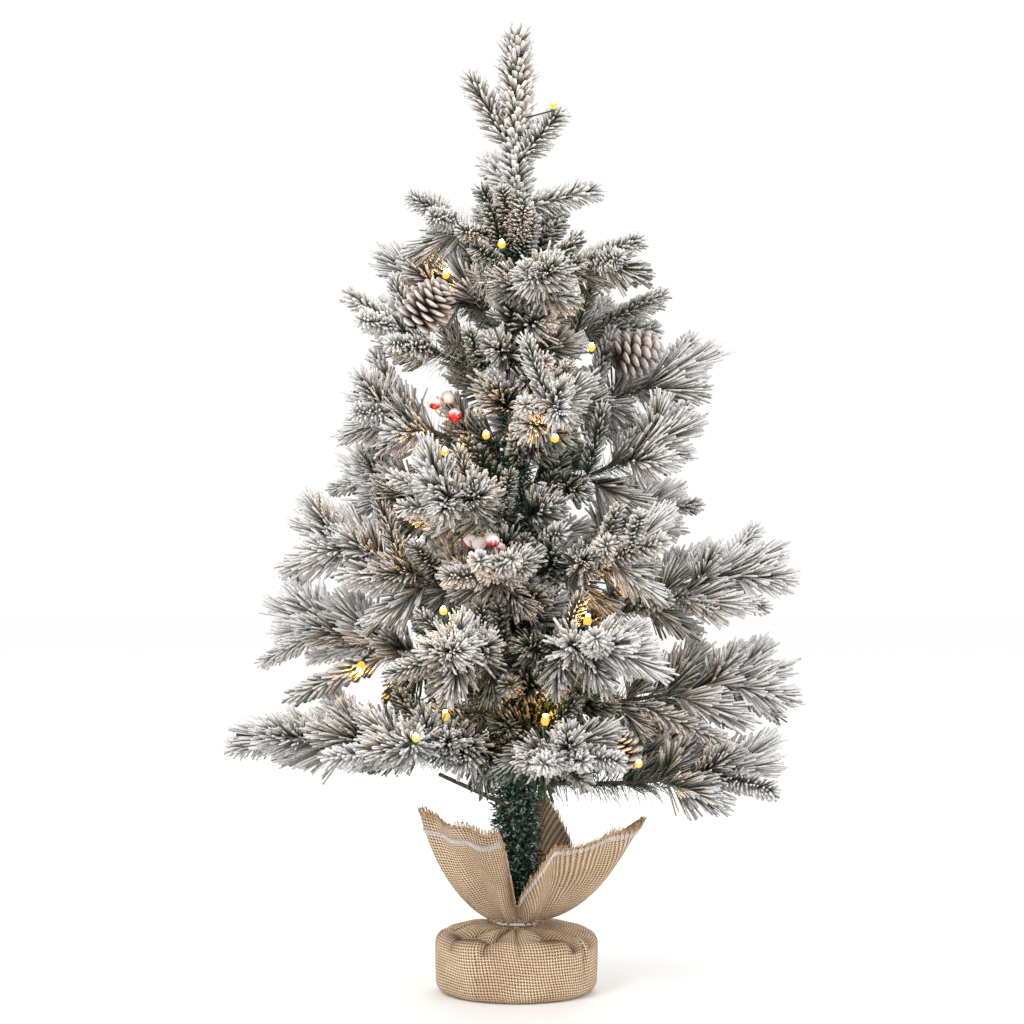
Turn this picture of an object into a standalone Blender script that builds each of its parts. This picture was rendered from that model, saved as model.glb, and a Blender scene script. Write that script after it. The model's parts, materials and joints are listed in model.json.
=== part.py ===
# Flocked tabletop tree: a weighted base in a gathered burlap bag, a tinsel-wrapped
# pole, wire branches that fold at their roots, and a battery light string.
# Metres, +Z up. The origin is the centre of the face that the bag stands on.
# Azimuth 0 is +X (right), 90 is +Y (back), 180 is left, 270 is the front.

import math

import bmesh
import bpy
from mathutils import Matrix, Vector

# ---------------------------------------------------------------- overall sizes
treeHeight = 0.900
clearance = 0.0003  # between pieces that touch
motionGap = 0.0004  # between pieces that slide on each other

# base and bag
clothThickness = 0.0015
baseRadius = 0.0755
baseHeight = 0.0575
baseCorner = 0.013
neckHeight = 0.0640
bagColumns = 28
flareSpread = 0.72  # the mouth opens quickly above the neck
flareRise = 1.22  # and rises slowly
potWall = 0.0016
potTaper = 0.0008  # how much narrower the pot is at its rim
pourDepth = 0.041  # how deep the pot is filled with cement
sleeveWall = 0.0025
sleeveFloor = 0.0030  # solid bottom that the pole stands on
sleeveTop = 0.0540
tieRadius = 0.0012

# pole and its tinsel wrap
poleRadius = 0.0050
poleWall = 0.0008
poleTop = 0.7000
wrapBottom = 0.0580
wrapRadiusLow = 0.0160
wrapRadiusHigh = 0.0095

# branch roots sit on a spiral, and the light cable on the spiral between
spiralStart = 0.1950
spiralPitch = 0.0660

# branches
stemRadius = 0.0022
tipCurl = 14.0  # degrees that a stem turns up between its root and its tip
bareShare = 0.30  # share of the stem without foliage
longLobe = 0.0175  # half width of a sprig of long needles, as a plain solid
shortLobe = 0.0120
twigAngle = 38.0
twigShare = 0.34  # a side twig's length over its branch's length

# lights
cableRadius = 0.0009
cablePerTurn = 9
cableFirstTurn = 1.14
cableLastTurn = 7.10
lampRadius = 0.0030
lampLength = 0.0120

# battery box, behind the pole
cellCount = 3
cellRadius = 0.0071
cellLength = 0.0500
contactThickness = 0.0005
caseWall = 0.0018
switchRoom = 0.0115
coverThickness = 0.0020
grooveDepth = 0.0012  # how far the cover reaches into each side of the case
railLip = 0.0014
caseCentreHeight = 0.2325
caseStandoff = 0.0045  # from the wrap to the case
lugSize = (0.0060, 0.0070, 0.0060)
lugHole = 0.0021
lugSetback = 0.0015  # from the case's front face
twistTieRadius = 0.0009
twistTieSlack = 0.0012  # between the loop and the wrap
glandRadius = 0.0024
glandHeight = 0.0025
glandOffset = 0.0140
knobSize = 0.0050  # along its travel
knobThickness = 0.0030
knobReach = 0.0016  # how far it stands out of the case
knobTravel = 0.0040
flangeThickness = 0.0012  # inside the case, it holds the knob in its slot
flangeReach = 0.0015
ribCount = 3  # finger ribs on the cover
ribPitch = 0.0040
ribSize = (0.0180, 0.0010, 0.0016)
terminalRadius = 0.0027
terminalHeight = 0.0012

# pine cones and berries
coneWidthShare = 0.43  # a cone's half width over its length
coneRows = 5
berryRadius = 0.0065
berryStem = 0.0009

# name, azimuth, turn of the spiral, rise, length, twist of the fan, twigs, lobe
branchLayout = [
    ("right_1", -13, 0, 6, 0.238, 25, 4, longLobe),
    ("back_right_1", 32, 0, 8, 0.205, 5, 4, longLobe),
    ("back_left_1", 150, 0, 6, 0.215, -5, 4, longLobe),
    ("left_1", 188, 0, 3, 0.255, 20, 4, longLobe),
    ("front_left_1", 236, 0, 2, 0.225, 15, 4, longLobe),
    ("front_right_1", 286, 0, -4, 0.200, 0, 4, shortLobe),
    ("right_2", 2, 1, 9, 0.250, 35, 4, longLobe),
    ("back_2", 92, 1, 14, 0.215, 0, 4, longLobe),
    ("left_2", 166, 1, 16, 0.242, 40, 4, longLobe),
    ("front_left_2", 246, 1, 8, 0.185, 20, 3, longLobe),
    ("front_right_2", 300, 1, 6, 0.190, -10, 4, longLobe),
    ("right_3", -2, 2, 20, 0.258, 35, 4, longLobe),
    ("back_3", 118, 2, 20, 0.185, 10, 3, longLobe),
    ("left_3", 191, 2, 22, 0.212, -35, 4, longLobe),
    ("front_left_3", 258, 2, 12, 0.150, 10, 3, shortLobe),
    ("front_right_3", 318, 2, 12, 0.165, -15, 2, shortLobe),
    ("right_4", 28, 3, 22, 0.185, 30, 3, longLobe),
    ("back_4", 96, 3, 24, 0.165, 0, 3, longLobe),
    ("left_4", 167, 3, 24, 0.172, 35, 3, longLobe),
    ("front_left_4", 240, 3, 14, 0.160, 25, 2, longLobe),
    ("right_5", -14, 4, 25, 0.180, 35, 3, longLobe),
    ("left_5", 191, 4, 24, 0.158, -35, 3, longLobe),
    ("front_right_5", 288, 4, 20, 0.135, 10, 2, longLobe),
    ("right_6", 14, 5, 20, 0.205, 30, 3, longLobe),
    ("back_6", 82, 5, 30, 0.125, 0, 2, longLobe),
    ("left_6", 200, 5, 28, 0.170, -30, 3, shortLobe),
    ("right_7", 28, 6, 18, 0.150, 30, 2, shortLobe),
    ("left_7", 165, 6, 28, 0.145, 25, 2, longLobe),
    ("front_right_7", 290, 6, 14, 0.100, 0, 2, longLobe),
    ("right_8", -12, 7, 20, 0.112, 20, 2, shortLobe),
    ("left_8", 190, 7, 26, 0.098, -20, 2, shortLobe),
]

# the leader's side sprigs: root height, reach in X, Y and Z, half width
leaderTwigs = [
    (0.770, (-0.046, -0.004, 0.076), 0.0100),
    (0.776, (0.046, -0.022, 0.028), 0.0115),
    (0.722, (0.072, -0.006, 0.018), 0.0105),
    (0.738, (-0.026, 0.046, 0.034), 0.0105),
]

# ornament, branch, share of its stem and side of the fan; a cone's length, and whether it
# lies along the stem
coneLayout = [
    ("pine_cone_1", "left_6", 0.60, 1, 0.048, False),
    ("pine_cone_2", "right_6", 0.56, 1, 0.046, True),
    ("pine_cone_3", "right_4", 0.56, 1, 0.030, False),
    ("pine_cone_4", "right_1", 0.37, 1, 0.038, False),
]
berryLayout = [
    ("berries_1", "left_5", 0.44, 1),
    ("berries_2", "front_left_4", 0.40, -1),
    ("berries_3", "right_2", 0.43, 1),
]
lampLayout = [
    ("lamp_1", "front_left_1", 0.38, 1),
    ("lamp_2", "front_right_1", 0.38, 1),
    ("lamp_3", "left_2", 0.52, -1),
    ("lamp_4", "front_right_2", 0.56, 1),
]


# ---------------------------------------------------------------- tools
def emptyScene():
    for item in list(bpy.data.objects):
        bpy.data.objects.remove(item, do_unlink=True)


def newCollection(name):
    collection = bpy.data.collections.new(name)
    bpy.context.scene.collection.children.link(collection)
    return collection


def newMaterial(name, colour, roughness, metallic=0.0):
    material = bpy.data.materials.new(name)
    material.use_nodes = True
    shader = material.node_tree.nodes["Principled BSDF"]
    shader.inputs["Base Color"].default_value = (*colour, 1.0)
    shader.inputs["Roughness"].default_value = roughness
    shader.inputs["Metallic"].default_value = metallic
    material.diffuse_color = (*colour, 1.0)
    return material


def newObject(name, data, material, parent=None):
    item = bpy.data.objects.new(name, data)
    partsCollection.objects.link(item)
    if material:
        item.data.materials.append(material)
    if parent:
        item.parent = parent
    return item


def newEmpty(name, location, turn=0.0):
    empty = bpy.data.objects.new(name, None)
    partsCollection.objects.link(empty)
    empty.location = location
    empty.rotation_euler = (0.0, 0.0, turn)
    return empty


def turnedMesh(name, outline, steps):
    """The outline, in (radius, height), runs down its outer side."""
    mesh = bpy.data.meshes.new(name)
    closed = outline[0][0] > 0.0 and outline[-1][0] > 0.0
    shape = bmesh.new()
    corners = [shape.verts.new((radius, 0.0, height)) for radius, height in outline]
    for first, second in zip(corners, corners[1:]):
        shape.edges.new((first, second))
    if closed:
        shape.edges.new((corners[-1], corners[0]))
    edges = list(shape.edges)
    bmesh.ops.spin(
        shape, geom=list(shape.verts) + edges, cent=(0, 0, 0), axis=(0, 0, 1),
        angle=2 * math.pi, steps=steps, use_merge=True,
    )
    bmesh.ops.remove_doubles(shape, verts=shape.verts, dist=0.00001)
    bmesh.ops.recalc_face_normals(shape, faces=shape.faces)
    shape.to_mesh(mesh)
    shape.free()
    return mesh


def tubeMesh(name, points, radii, resolution=1, cyclic=False):
    """A round tube through the points, with its own radius at each."""
    curve = bpy.data.curves.new(name + "_route", "CURVE")
    curve.dimensions = "3D"
    curve.bevel_depth = 1.0
    curve.bevel_resolution = resolution
    curve.use_fill_caps = not cyclic
    spline = curve.splines.new("POLY")
    spline.points.add(len(points) - 1)
    spline.use_cyclic_u = cyclic
    for knot, point, radius in zip(spline.points, points, radii):
        knot.co = (*point, 1.0)
        knot.radius = radius
    route = bpy.data.objects.new(name + "_route", curve)
    partsCollection.objects.link(route)
    bpy.context.view_layer.update()
    evaluated = route.evaluated_get(bpy.context.evaluated_depsgraph_get())
    mesh = bpy.data.meshes.new_from_object(evaluated)
    bpy.data.objects.remove(route, do_unlink=True)
    shape = bmesh.new()
    shape.from_mesh(mesh)
    bmesh.ops.remove_doubles(shape, verts=shape.verts, dist=0.00001)
    bmesh.ops.recalc_face_normals(shape, faces=shape.faces)
    shape.to_mesh(mesh)
    shape.free()
    mesh.materials.clear()
    mesh.name = name
    return mesh


def boxMesh(name, size, centre=(0, 0, 0), bevel=0.0):
    mesh = bpy.data.meshes.new(name)
    shape = bmesh.new()
    bmesh.ops.create_cube(shape, size=1.0)
    bmesh.ops.scale(shape, vec=size, verts=shape.verts)
    if bevel:
        bmesh.ops.bevel(
            shape, geom=list(shape.edges), offset=bevel, segments=1, profile=0.5,
            affect="EDGES", material=-1,
        )
    bmesh.ops.translate(shape, vec=centre, verts=shape.verts)
    shape.to_mesh(mesh)
    shape.free()
    return mesh


def sphereMesh(name, radius, centre, segments=10, rings=7):
    mesh = bpy.data.meshes.new(name)
    shape = bmesh.new()
    bmesh.ops.create_uvsphere(shape, u_segments=segments, v_segments=rings, radius=radius)
    bmesh.ops.translate(shape, vec=centre, verts=shape.verts)
    shape.to_mesh(mesh)
    shape.free()
    return mesh


def cutterObject(mesh, parent=None):
    cutter = bpy.data.objects.new(mesh.name, mesh)
    cuttersCollection.objects.link(cutter)
    cutter.hide_render = True
    cutter.display_type = "WIRE"
    if parent:
        cutter.parent = parent
    return cutter


def combine(item, mesh, operation):
    """Adds mesh to the item, or cuts it out of it, in the item's own frame."""
    modifier = item.modifiers.new(operation.lower(), "BOOLEAN")
    modifier.operation = operation
    modifier.solver = "EXACT"
    modifier.object = cutterObject(mesh, item)


# ---------------------------------------------------------------- base and bag
def wrapRadiusAt(height):
    share = (height - wrapBottom) / (poleTop - wrapBottom)
    return wrapRadiusLow + (wrapRadiusHigh - wrapRadiusLow) * share


def neckRadius():
    return wrapRadiusLow + clearance + clothThickness


def potRadius():
    """The bag is a polygon, so its flats are nearer than its corners."""
    return (baseRadius - clothThickness) * math.cos(math.pi / bagColumns) - clearance


def makePot():
    floorHeight = clothThickness + clearance
    radius = potRadius()
    top = baseHeight - clothThickness - 0.6 * baseCorner - clearance
    outline = [
        (0.0, floorHeight + potWall),
        (radius - baseCorner * 0.7, floorHeight + potWall),
        (radius - potWall, floorHeight + baseCorner * 0.7),
        (radius - potWall - potTaper, top),
        (radius - potTaper, top),
        (radius, floorHeight + baseCorner * 0.7),
        (radius - baseCorner * 0.7, floorHeight),
        (0.0, floorHeight),
    ]
    return newObject("base_pot", turnedMesh("base_pot", outline, 28), potMaterial)


def makeCement():
    floorHeight = clothThickness + clearance + potWall + clearance
    radius = potRadius() - potWall - clearance - potTaper
    hole = poleRadius + clearance + sleeveWall + clearance
    outline = [
        (hole, floorHeight),
        (hole, floorHeight + pourDepth),
        (radius - 0.001, floorHeight + pourDepth),
        (radius - 0.001, floorHeight + baseCorner * 0.8),
        (radius - baseCorner * 0.8, floorHeight),
    ]
    return newObject("cement_weight", turnedMesh("cement_weight", outline, 28), cementMaterial)


def makeSleeve():
    floorHeight = clothThickness + clearance + potWall + clearance
    inner = poleRadius + clearance
    outer = inner + sleeveWall
    outline = [
        (0.0, floorHeight + sleeveFloor),
        (inner, floorHeight + sleeveFloor),
        (inner, sleeveTop),
        (outer, sleeveTop),
        (outer, floorHeight),
        (0.0, floorHeight),
    ]
    return newObject("pole_sleeve", turnedMesh("pole_sleeve", outline, 20), potMaterial)


def makePole():
    bottom = clothThickness + potWall + 3 * clearance + sleeveFloor
    outline = [
        (poleRadius - poleWall, bottom),
        (poleRadius - poleWall, poleTop),
        (poleRadius, poleTop),
        (poleRadius, bottom),
    ]
    return newObject("trunk_pole", turnedMesh("trunk_pole", outline, 20), poleMaterial)


def makeWrap():
    outline = [
        (poleRadius + clearance, wrapBottom),
        (poleRadius + clearance, poleTop),
        (wrapRadiusHigh, poleTop),
        (wrapRadiusLow, wrapBottom),
    ]
    return newObject("trunk_wrap", turnedMesh("trunk_wrap", outline, 20), wrapMaterial)


# azimuth, reach and height of the bag's top edge, which flops out in three lobes
bagEdge = [
    (0, 0.118, 0.156),
    (28, 0.066, 0.120),
    (60, 0.055, 0.170),
    (85, 0.046, 0.172),
    (120, 0.044, 0.125),
    (150, 0.055, 0.140),
    (180, 0.087, 0.165),
    (215, 0.072, 0.157),
    (248, 0.050, 0.150),
    (272, 0.025, 0.082),
    (310, 0.060, 0.136),
    (338, 0.098, 0.149),
]


def bagEdgeAt(azimuth):
    """Reach and height of the bag's edge, smoothly between the listed places."""
    count = len(bagEdge)
    for place in range(count):
        start, end = bagEdge[place], bagEdge[(place + 1) % count]
        span = (end[0] - start[0]) % 360
        inside = (azimuth - start[0]) % 360
        if inside < span:
            blend = 0.5 - 0.5 * math.cos(math.pi * inside / span)
            return tuple(a + (b - a) * blend for a, b in zip(start[1:], end[1:]))


def bagRings():
    """Middle surface of the bag: one function of azimuth for each ring."""
    half = clothThickness / 2
    side = baseRadius - half
    top = baseHeight - half
    neck = neckRadius() - half
    collarHalf = tieRadius * 2.2
    rings = [
        lambda azimuth: (side * 0.5, half),
        lambda azimuth: (side - baseCorner * 0.7, half),
        lambda azimuth: (side, half + baseCorner * 0.7),
        lambda azimuth: (side, top - baseCorner * 0.6),
        lambda azimuth: (side - baseCorner * 0.5, top),
        lambda azimuth: (neck + 0.012, top + 0.002),
        lambda azimuth: (neck, neckHeight - collarHalf),
        lambda azimuth: (neck, neckHeight + collarHalf),
    ]
    for share in (0.28, 0.52, 0.76, 1.0):
        rings.append(
            lambda azimuth, share=share: (
                neck + (bagEdgeAt(azimuth)[0] - neck) * share ** flareSpread,
                neckHeight + collarHalf
                + (bagEdgeAt(azimuth)[1] - neckHeight - collarHalf) * share ** flareRise,
            )
        )
    return rings


def makeBag():
    columns = bagColumns
    mesh = bpy.data.meshes.new("burlap_bag")
    shape = bmesh.new()
    loops = []
    for ring in bagRings():
        corners = []
        for column in range(columns):
            azimuth = 360.0 * column / columns
            radius, height = ring(azimuth)
            turn = math.radians(azimuth)
            corners.append(
                shape.verts.new((radius * math.cos(turn), radius * math.sin(turn), height))
            )
        loops.append(corners)
    shape.faces.new(loops[0])
    for lower, upper in zip(loops, loops[1:]):
        for column in range(columns):
            following = (column + 1) % columns
            shape.faces.new(
                (lower[column], lower[following], upper[following], upper[column])
            )
    bmesh.ops.recalc_face_normals(shape, faces=shape.faces)
    shape.to_mesh(mesh)
    shape.free()
    bag = newObject("burlap_bag", mesh, burlapMaterial)
    thickness = bag.modifiers.new("thickness", "SOLIDIFY")
    thickness.thickness = clothThickness
    thickness.offset = 0.0
    return bag


def makeBagTie():
    steps = 24
    radius = (neckRadius() + clearance + tieRadius) / math.cos(math.pi / steps)
    points = [
        (
            radius * math.cos(2 * math.pi * step / steps),
            radius * math.sin(2 * math.pi * step / steps),
            neckHeight,
        )
        for step in range(steps)
    ]
    mesh = tubeMesh("bag_tie", points, [tieRadius] * steps, 1, cyclic=True)
    return newObject("bag_tie", mesh, tieMaterial)


# ---------------------------------------------------------------- branches
def rootHeight(azimuth, turn):
    return spiralStart + spiralPitch * (turn + azimuth / 360.0)


def stemPoint(distance, rise, length):
    """A point on the stem in the branch's own frame: +X is outward."""
    steps = 12
    x, z = 0.0, 0.0
    for step in range(steps):
        share = distance * (step + 0.5) / steps / length
        slope = math.radians(rise + tipCurl * (share - 0.5))
        x += math.cos(slope) * distance / steps
        z += math.sin(slope) * distance / steps
    return Vector((x, 0.0, z))


def stemDirection(distance, rise, length):
    slope = math.radians(rise + tipCurl * (distance / length - 0.5))
    return Vector((math.cos(slope), 0.0, math.sin(slope)))


def fanSide(direction, twist):
    """Unit vector across the stem, in the plane of the branch's fan of twigs."""
    across = Vector((0.0, 1.0, 0.0))
    across.rotate(Matrix.Rotation(math.radians(twist), 3, direction))
    return across


lobeShape = [(0.0, 0.40), (0.25, 0.95), (0.70, 0.95), (1.0, 0.35)]  # share, width


def stemMesh(name, rise, length, lobe):
    bare = length * bareShare
    points = [stemDirection(0, rise, length) * (-0.7 * stemRadius)]
    radii = [stemRadius * 0.4]
    for distance in (0.0, bare * 0.9):
        points.append(stemPoint(distance, rise, length))
        radii.append(stemRadius)
    for share, width in lobeShape:
        points.append(stemPoint(bare + (length - bare) * share, rise, length))
        radii.append(lobe * width)
    return tubeMesh(name, points, radii)


def twigMesh(name, start, direction, length, lobe):
    points = [start + direction * (length * share) for share, width in lobeShape]
    radii = [lobe * width for share, width in lobeShape]
    return tubeMesh(name, points, radii)


def twigPlaces(twigs):
    """Share of the stem and side of each twig."""
    starts = (0.42, 0.50, 0.66, 0.72)
    return [(starts[twig], 1 if twig % 2 == 0 else -1) for twig in range(twigs)]


def makeBranch(layout):
    name, azimuth, turn, rise, length, twist, twigs, lobe = layout
    height = rootHeight(azimuth, turn)
    radius = wrapRadiusAt(height) + clearance + stemRadius
    bearing = math.radians(azimuth)
    root = newEmpty(
        "fold_" + name,
        (radius * math.cos(bearing), radius * math.sin(bearing), height),
        bearing,
    )
    branch = newObject(
        "branch_" + name, stemMesh("branch_" + name, rise, length, lobe), foliageMaterial, root
    )
    for number, (share, side) in enumerate(twigPlaces(twigs)):
        start = stemPoint(length * share, rise, length)
        direction = stemDirection(length * share, rise, length)
        across = fanSide(direction, twist)
        spread = math.radians(twigAngle)
        heading = direction * math.cos(spread) + across * (side * math.sin(spread))
        reach = length * twigShare * (1.0 if number < 2 else 0.8)
        twig = twigMesh(f"{name}_twig_{number + 1}", start, heading, reach, lobe * 0.92)
        combine(branch, twig, "UNION")
    return root


def makeLeader():
    bottom = poleTop + clearance
    outline = [
        (0.0, 0.0045), (0.07, 0.0100), (0.25, 0.0155), (0.60, 0.0160), (0.86, 0.0125), (1.0, 0.0030),
    ]  # share of the leader's length, half width
    points = [(0.0, 0.0, bottom + (treeHeight - bottom) * share) for share, width in outline]
    mesh = tubeMesh("leader", points, [width for share, width in outline], 2)
    leader = newObject("leader", mesh, foliageMaterial)
    for number, (height, reach, lobe) in enumerate(leaderTwigs):
        reach = Vector(reach)
        start = Vector((0.0, 0.0, height))
        twig = twigMesh(
            f"leader_twig_{number + 1}", start, reach.normalized(), reach.length, lobe
        )
        combine(leader, twig, "UNION")
    return leader


# ---------------------------------------------------------------- ornaments
def branchFrame(branch, share, side, offset):
    """Place on a branch's fan: +Z leaves the fan, +X runs out along the stem."""
    name, azimuth, turn, rise, length, twist, twigs, lobe = branch
    direction = stemDirection(length * share, rise, length)
    across = fanSide(direction, twist)
    normal = direction.cross(across) * side
    origin = stemPoint(length * share, rise, length) + normal * (lobe + clearance + offset)
    frame = Matrix((direction, normal.cross(direction), normal)).transposed().to_4x4()
    frame.translation = origin
    return frame


def branchNamed(name):
    return next(branch for branch in branchLayout if branch[0] == name)


def makeCone(name, root, frame, coneLength, lying):
    coneRadius = coneLength * coneWidthShare
    outline = [(0.0, 0.0)]
    for row in range(coneRows):
        share = (row + 0.5) / coneRows
        width = coneRadius * math.sin(math.pi * (0.22 + 0.74 * share)) ** 0.8
        outline.append((width * 0.74, coneLength * row / coneRows + 0.0015))
        outline.append((width, coneLength * (row + 0.75) / coneRows))
    outline.append((0.0, coneLength))
    outline.reverse()
    cone = newObject(name, turnedMesh(name, outline, 10), coneMaterial, root)
    if lying:
        lay = Matrix.Rotation(math.radians(90.0), 4, "Y")
        frame = frame @ Matrix.Translation((-coneLength / 2, 0.0, coneRadius)) @ lay
    cone.matrix_basis = frame
    return cone


berryPlaces = [(0.0, -0.0075, 0.017), (0.011, 0.007, 0.015), (-0.011, 0.008, 0.012)]


def makeBerries(name, root, frame):
    stems = None
    for number, place in enumerate(berryPlaces):
        foot = Vector((0.0, 0.0, berryStem))
        head = Vector(place)
        stem = tubeMesh(f"{name}_stem_{number + 1}", [foot, head], [berryStem] * 2)
        if stems is None:
            stems = newObject(name, stem, berryMaterial, root)
        else:
            combine(stems, stem, "UNION")
        ball = sphereMesh(f"{name}_ball_{number + 1}", berryRadius, head, 8, 6)
        combine(stems, ball, "UNION")
    stems.matrix_basis = frame
    return stems


def lampMesh(name):
    outline = [
        (0.0, lampLength),
        (lampRadius * 0.7, lampLength - lampRadius * 0.4),
        (lampRadius, lampLength - lampRadius),
        (lampRadius, lampLength * 0.45),
        (lampRadius * 0.75, lampLength * 0.40),
        (lampRadius * 0.75, 0.0),
        (0.0, 0.0),
    ]
    return turnedMesh(name, outline, 10)


def makeOrnaments(roots):
    for name, branchName, share, side, length, lying in coneLayout:
        frame = branchFrame(branchNamed(branchName), share, side, 0.0)
        makeCone(name, roots[branchName], frame, length, lying)
    for name, branchName, share, side in berryLayout:
        frame = branchFrame(branchNamed(branchName), share, side, 0.0)
        makeBerries(name, roots[branchName], frame)
    for name, branchName, share, side in lampLayout:
        lamp = newObject(name, lampMesh(name), lampMaterial, roots[branchName])
        lamp.matrix_basis = branchFrame(branchNamed(branchName), share, side, 0.0)


# ---------------------------------------------------------------- light cable
def cableCircle(height):
    """Radius of the cable's turns: its straight pieces clear the round wrap."""
    touching = wrapRadiusAt(height) + clearance + cableRadius
    return touching / math.cos(math.pi / cablePerTurn)


def makeCable():
    box = caseSizes()
    start = Vector((glandOffset, box["middle"], box["top"] + glandHeight + clearance))
    points = [start, start + Vector((0, 0, 0.009))]
    count = round((cableLastTurn - cableFirstTurn) * cablePerTurn)
    for step in range(count + 1):
        turn = cableFirstTurn + (cableLastTurn - cableFirstTurn) * step / count
        height = spiralStart + spiralPitch * (turn + 0.5)
        radius = cableCircle(height)
        bearing = 2 * math.pi * turn
        points.append(
            Vector((radius * math.cos(bearing), radius * math.sin(bearing), height))
        )
    points.insert(2, points[1].lerp(points[2], 0.5) + Vector((0.0, 0.0, 0.003)))
    mesh = tubeMesh("light_cable", points, [cableRadius] * len(points), 2)
    return newObject("light_cable", mesh, cableMaterial)


# ---------------------------------------------------------------- battery box
def caseSizes():
    """Every size of the battery box that more than one piece uses."""
    box = {}
    box["bay_width"] = 2 * cellRadius * cellCount + clearance * (cellCount + 1)
    box["bay_depth"] = 2 * cellRadius + 2 * clearance
    box["bay_height"] = cellLength + 2 * contactThickness + 4 * clearance
    box["side_wall"] = caseWall + grooveDepth
    box["width"] = box["bay_width"] + 2 * box["side_wall"]
    box["height"] = box["bay_height"] + switchRoom + 3 * caseWall
    box["front"] = wrapRadiusLow + caseStandoff
    box["bay_front"] = box["front"] + caseWall
    box["groove_front"] = box["bay_front"] + box["bay_depth"]
    box["groove_back"] = box["groove_front"] + coverThickness + 2 * motionGap
    box["back"] = box["groove_back"] + railLip
    box["middle"] = (box["front"] + box["back"]) / 2
    box["bottom"] = caseCentreHeight - box["height"] / 2
    box["top"] = caseCentreHeight + box["height"] / 2
    box["bay_bottom"] = box["bottom"] + caseWall
    box["bay_top"] = box["bay_bottom"] + box["bay_height"]
    box["room_bottom"] = box["bay_top"] + caseWall
    box["room_top"] = box["room_bottom"] + switchRoom
    return box


def spanBox(name, low, high, bevel=0.0):
    size = [b - a for a, b in zip(low, high)]
    centre = [(a + b) / 2 for a, b in zip(low, high)]
    return boxMesh(name, size, centre, bevel)


def makeCase():
    box = caseSizes()
    half, bay = box["width"] / 2, box["bay_width"] / 2
    groove = bay + grooveDepth
    past = 0.001  # a cutter runs this far past the face that it opens
    mesh = spanBox(
        "battery_case",
        (-half, box["front"], box["bottom"]),
        (half, box["back"], box["top"]),
        0.001,
    )
    case = newObject("battery_case", mesh, caseMaterial)
    lugTop = box["top"] + lugSize[2]
    lug = spanBox(
        "case_lug",
        (-lugSize[0] / 2, box["front"] + lugSetback, box["top"] - past),
        (lugSize[0] / 2, box["front"] + lugSetback + lugSize[1], lugTop),
    )
    combine(case, lug, "UNION")
    gland = turnedMesh(
        "case_gland",
        [(0, glandHeight), (glandRadius, glandHeight), (glandRadius, -past), (0, -past)],
        12,
    )
    gland.transform(Matrix.Translation((glandOffset, box["middle"], box["top"])))
    combine(case, gland, "UNION")
    cellBay = spanBox(
        "cut_cell_bay",
        (-bay, box["bay_front"], box["bay_bottom"]),
        (bay, box["groove_front"] + motionGap, box["bay_top"]),
    )
    combine(case, cellBay, "DIFFERENCE")
    switchBay = spanBox(
        "cut_switch_room",
        (-bay, box["bay_front"], box["room_bottom"]),
        (bay, box["groove_front"] + motionGap, box["room_top"]),
    )
    combine(case, switchBay, "DIFFERENCE")
    coverGroove = spanBox(
        "cut_cover_groove",
        (-groove, box["groove_front"], box["bottom"] - past),
        (groove, box["groove_back"], box["room_top"]),
    )
    combine(case, coverGroove, "DIFFERENCE")
    mouth = spanBox(
        "cut_cover_mouth",
        (-bay, box["groove_back"] - motionGap, box["bottom"] - past),
        (bay, box["back"] + past, box["room_top"]),
    )
    combine(case, mouth, "DIFFERENCE")
    slot = spanBox(
        "cut_switch_slot",
        (bay - past, knobMiddle() - knobThickness / 2 - motionGap, knobBottom() - motionGap),
        (half + past, knobMiddle() + knobThickness / 2 + motionGap,
         knobBottom() + knobSize + knobTravel + motionGap),
    )
    combine(case, slot, "DIFFERENCE")
    hole = turnedMesh(
        "cut_lug_hole",
        [(0, past), (lugHole, past), (lugHole, -lugSize[0] - past), (0, -lugSize[0] - past)],
        12,
    )
    turn = Matrix.Rotation(math.radians(90.0), 4, "Y")
    hole.transform(Matrix.Translation((lugSize[0] / 2, lugMiddle(), tieHeight())) @ turn)
    combine(case, hole, "DIFFERENCE")
    return case


def knobMiddle():
    box = caseSizes()
    return (box["bay_front"] + box["groove_front"]) / 2


def knobBottom():
    box = caseSizes()
    return (box["room_bottom"] + box["room_top"] - knobSize - knobTravel) / 2


def lugMiddle():
    return caseSizes()["front"] + lugSetback + lugSize[1] / 2


def tieHeight():
    return caseSizes()["top"] + lugSize[2] / 2


def makeKnob():
    box = caseSizes()
    bay, half = box["bay_width"] / 2, box["width"] / 2
    halfThick = knobThickness / 2
    origin = Vector((half, knobMiddle(), knobBottom() + knobSize / 2))
    stem = spanBox(
        "switch_knob",
        (bay - flangeThickness - half, -halfThick, -knobSize / 2),
        (knobReach, halfThick, knobSize / 2),
    )
    knob = newObject("switch_knob", stem, knobMaterial)
    knob.location = origin
    flange = spanBox(
        "knob_flange",
        (bay - 2 * flangeThickness - half, -halfThick - flangeReach, -knobSize / 2),
        (bay - motionGap - half, halfThick + flangeReach, knobSize / 2),
    )
    combine(knob, flange, "UNION")
    return knob


def makeCover():
    box = caseSizes()
    groove = box["bay_width"] / 2 + grooveDepth - motionGap
    origin = Vector((0.0, box["groove_front"] + motionGap, box["bottom"]))
    length = box["room_top"] - motionGap - box["bottom"]
    plate = spanBox("battery_cover", (-groove, 0.0, 0.0), (groove, coverThickness, length))
    cover = newObject("battery_cover", plate, caseMaterial)
    cover.location = origin
    for row in range(ribCount):
        low = 0.010 + ribPitch * row
        rib = spanBox(
            f"cover_rib_{row + 1}",
            (-ribSize[0] / 2, coverThickness / 2, low),
            (ribSize[0] / 2, coverThickness + ribSize[1], low + ribSize[2]),
        )
        combine(cover, rib, "UNION")
    return cover


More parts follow.
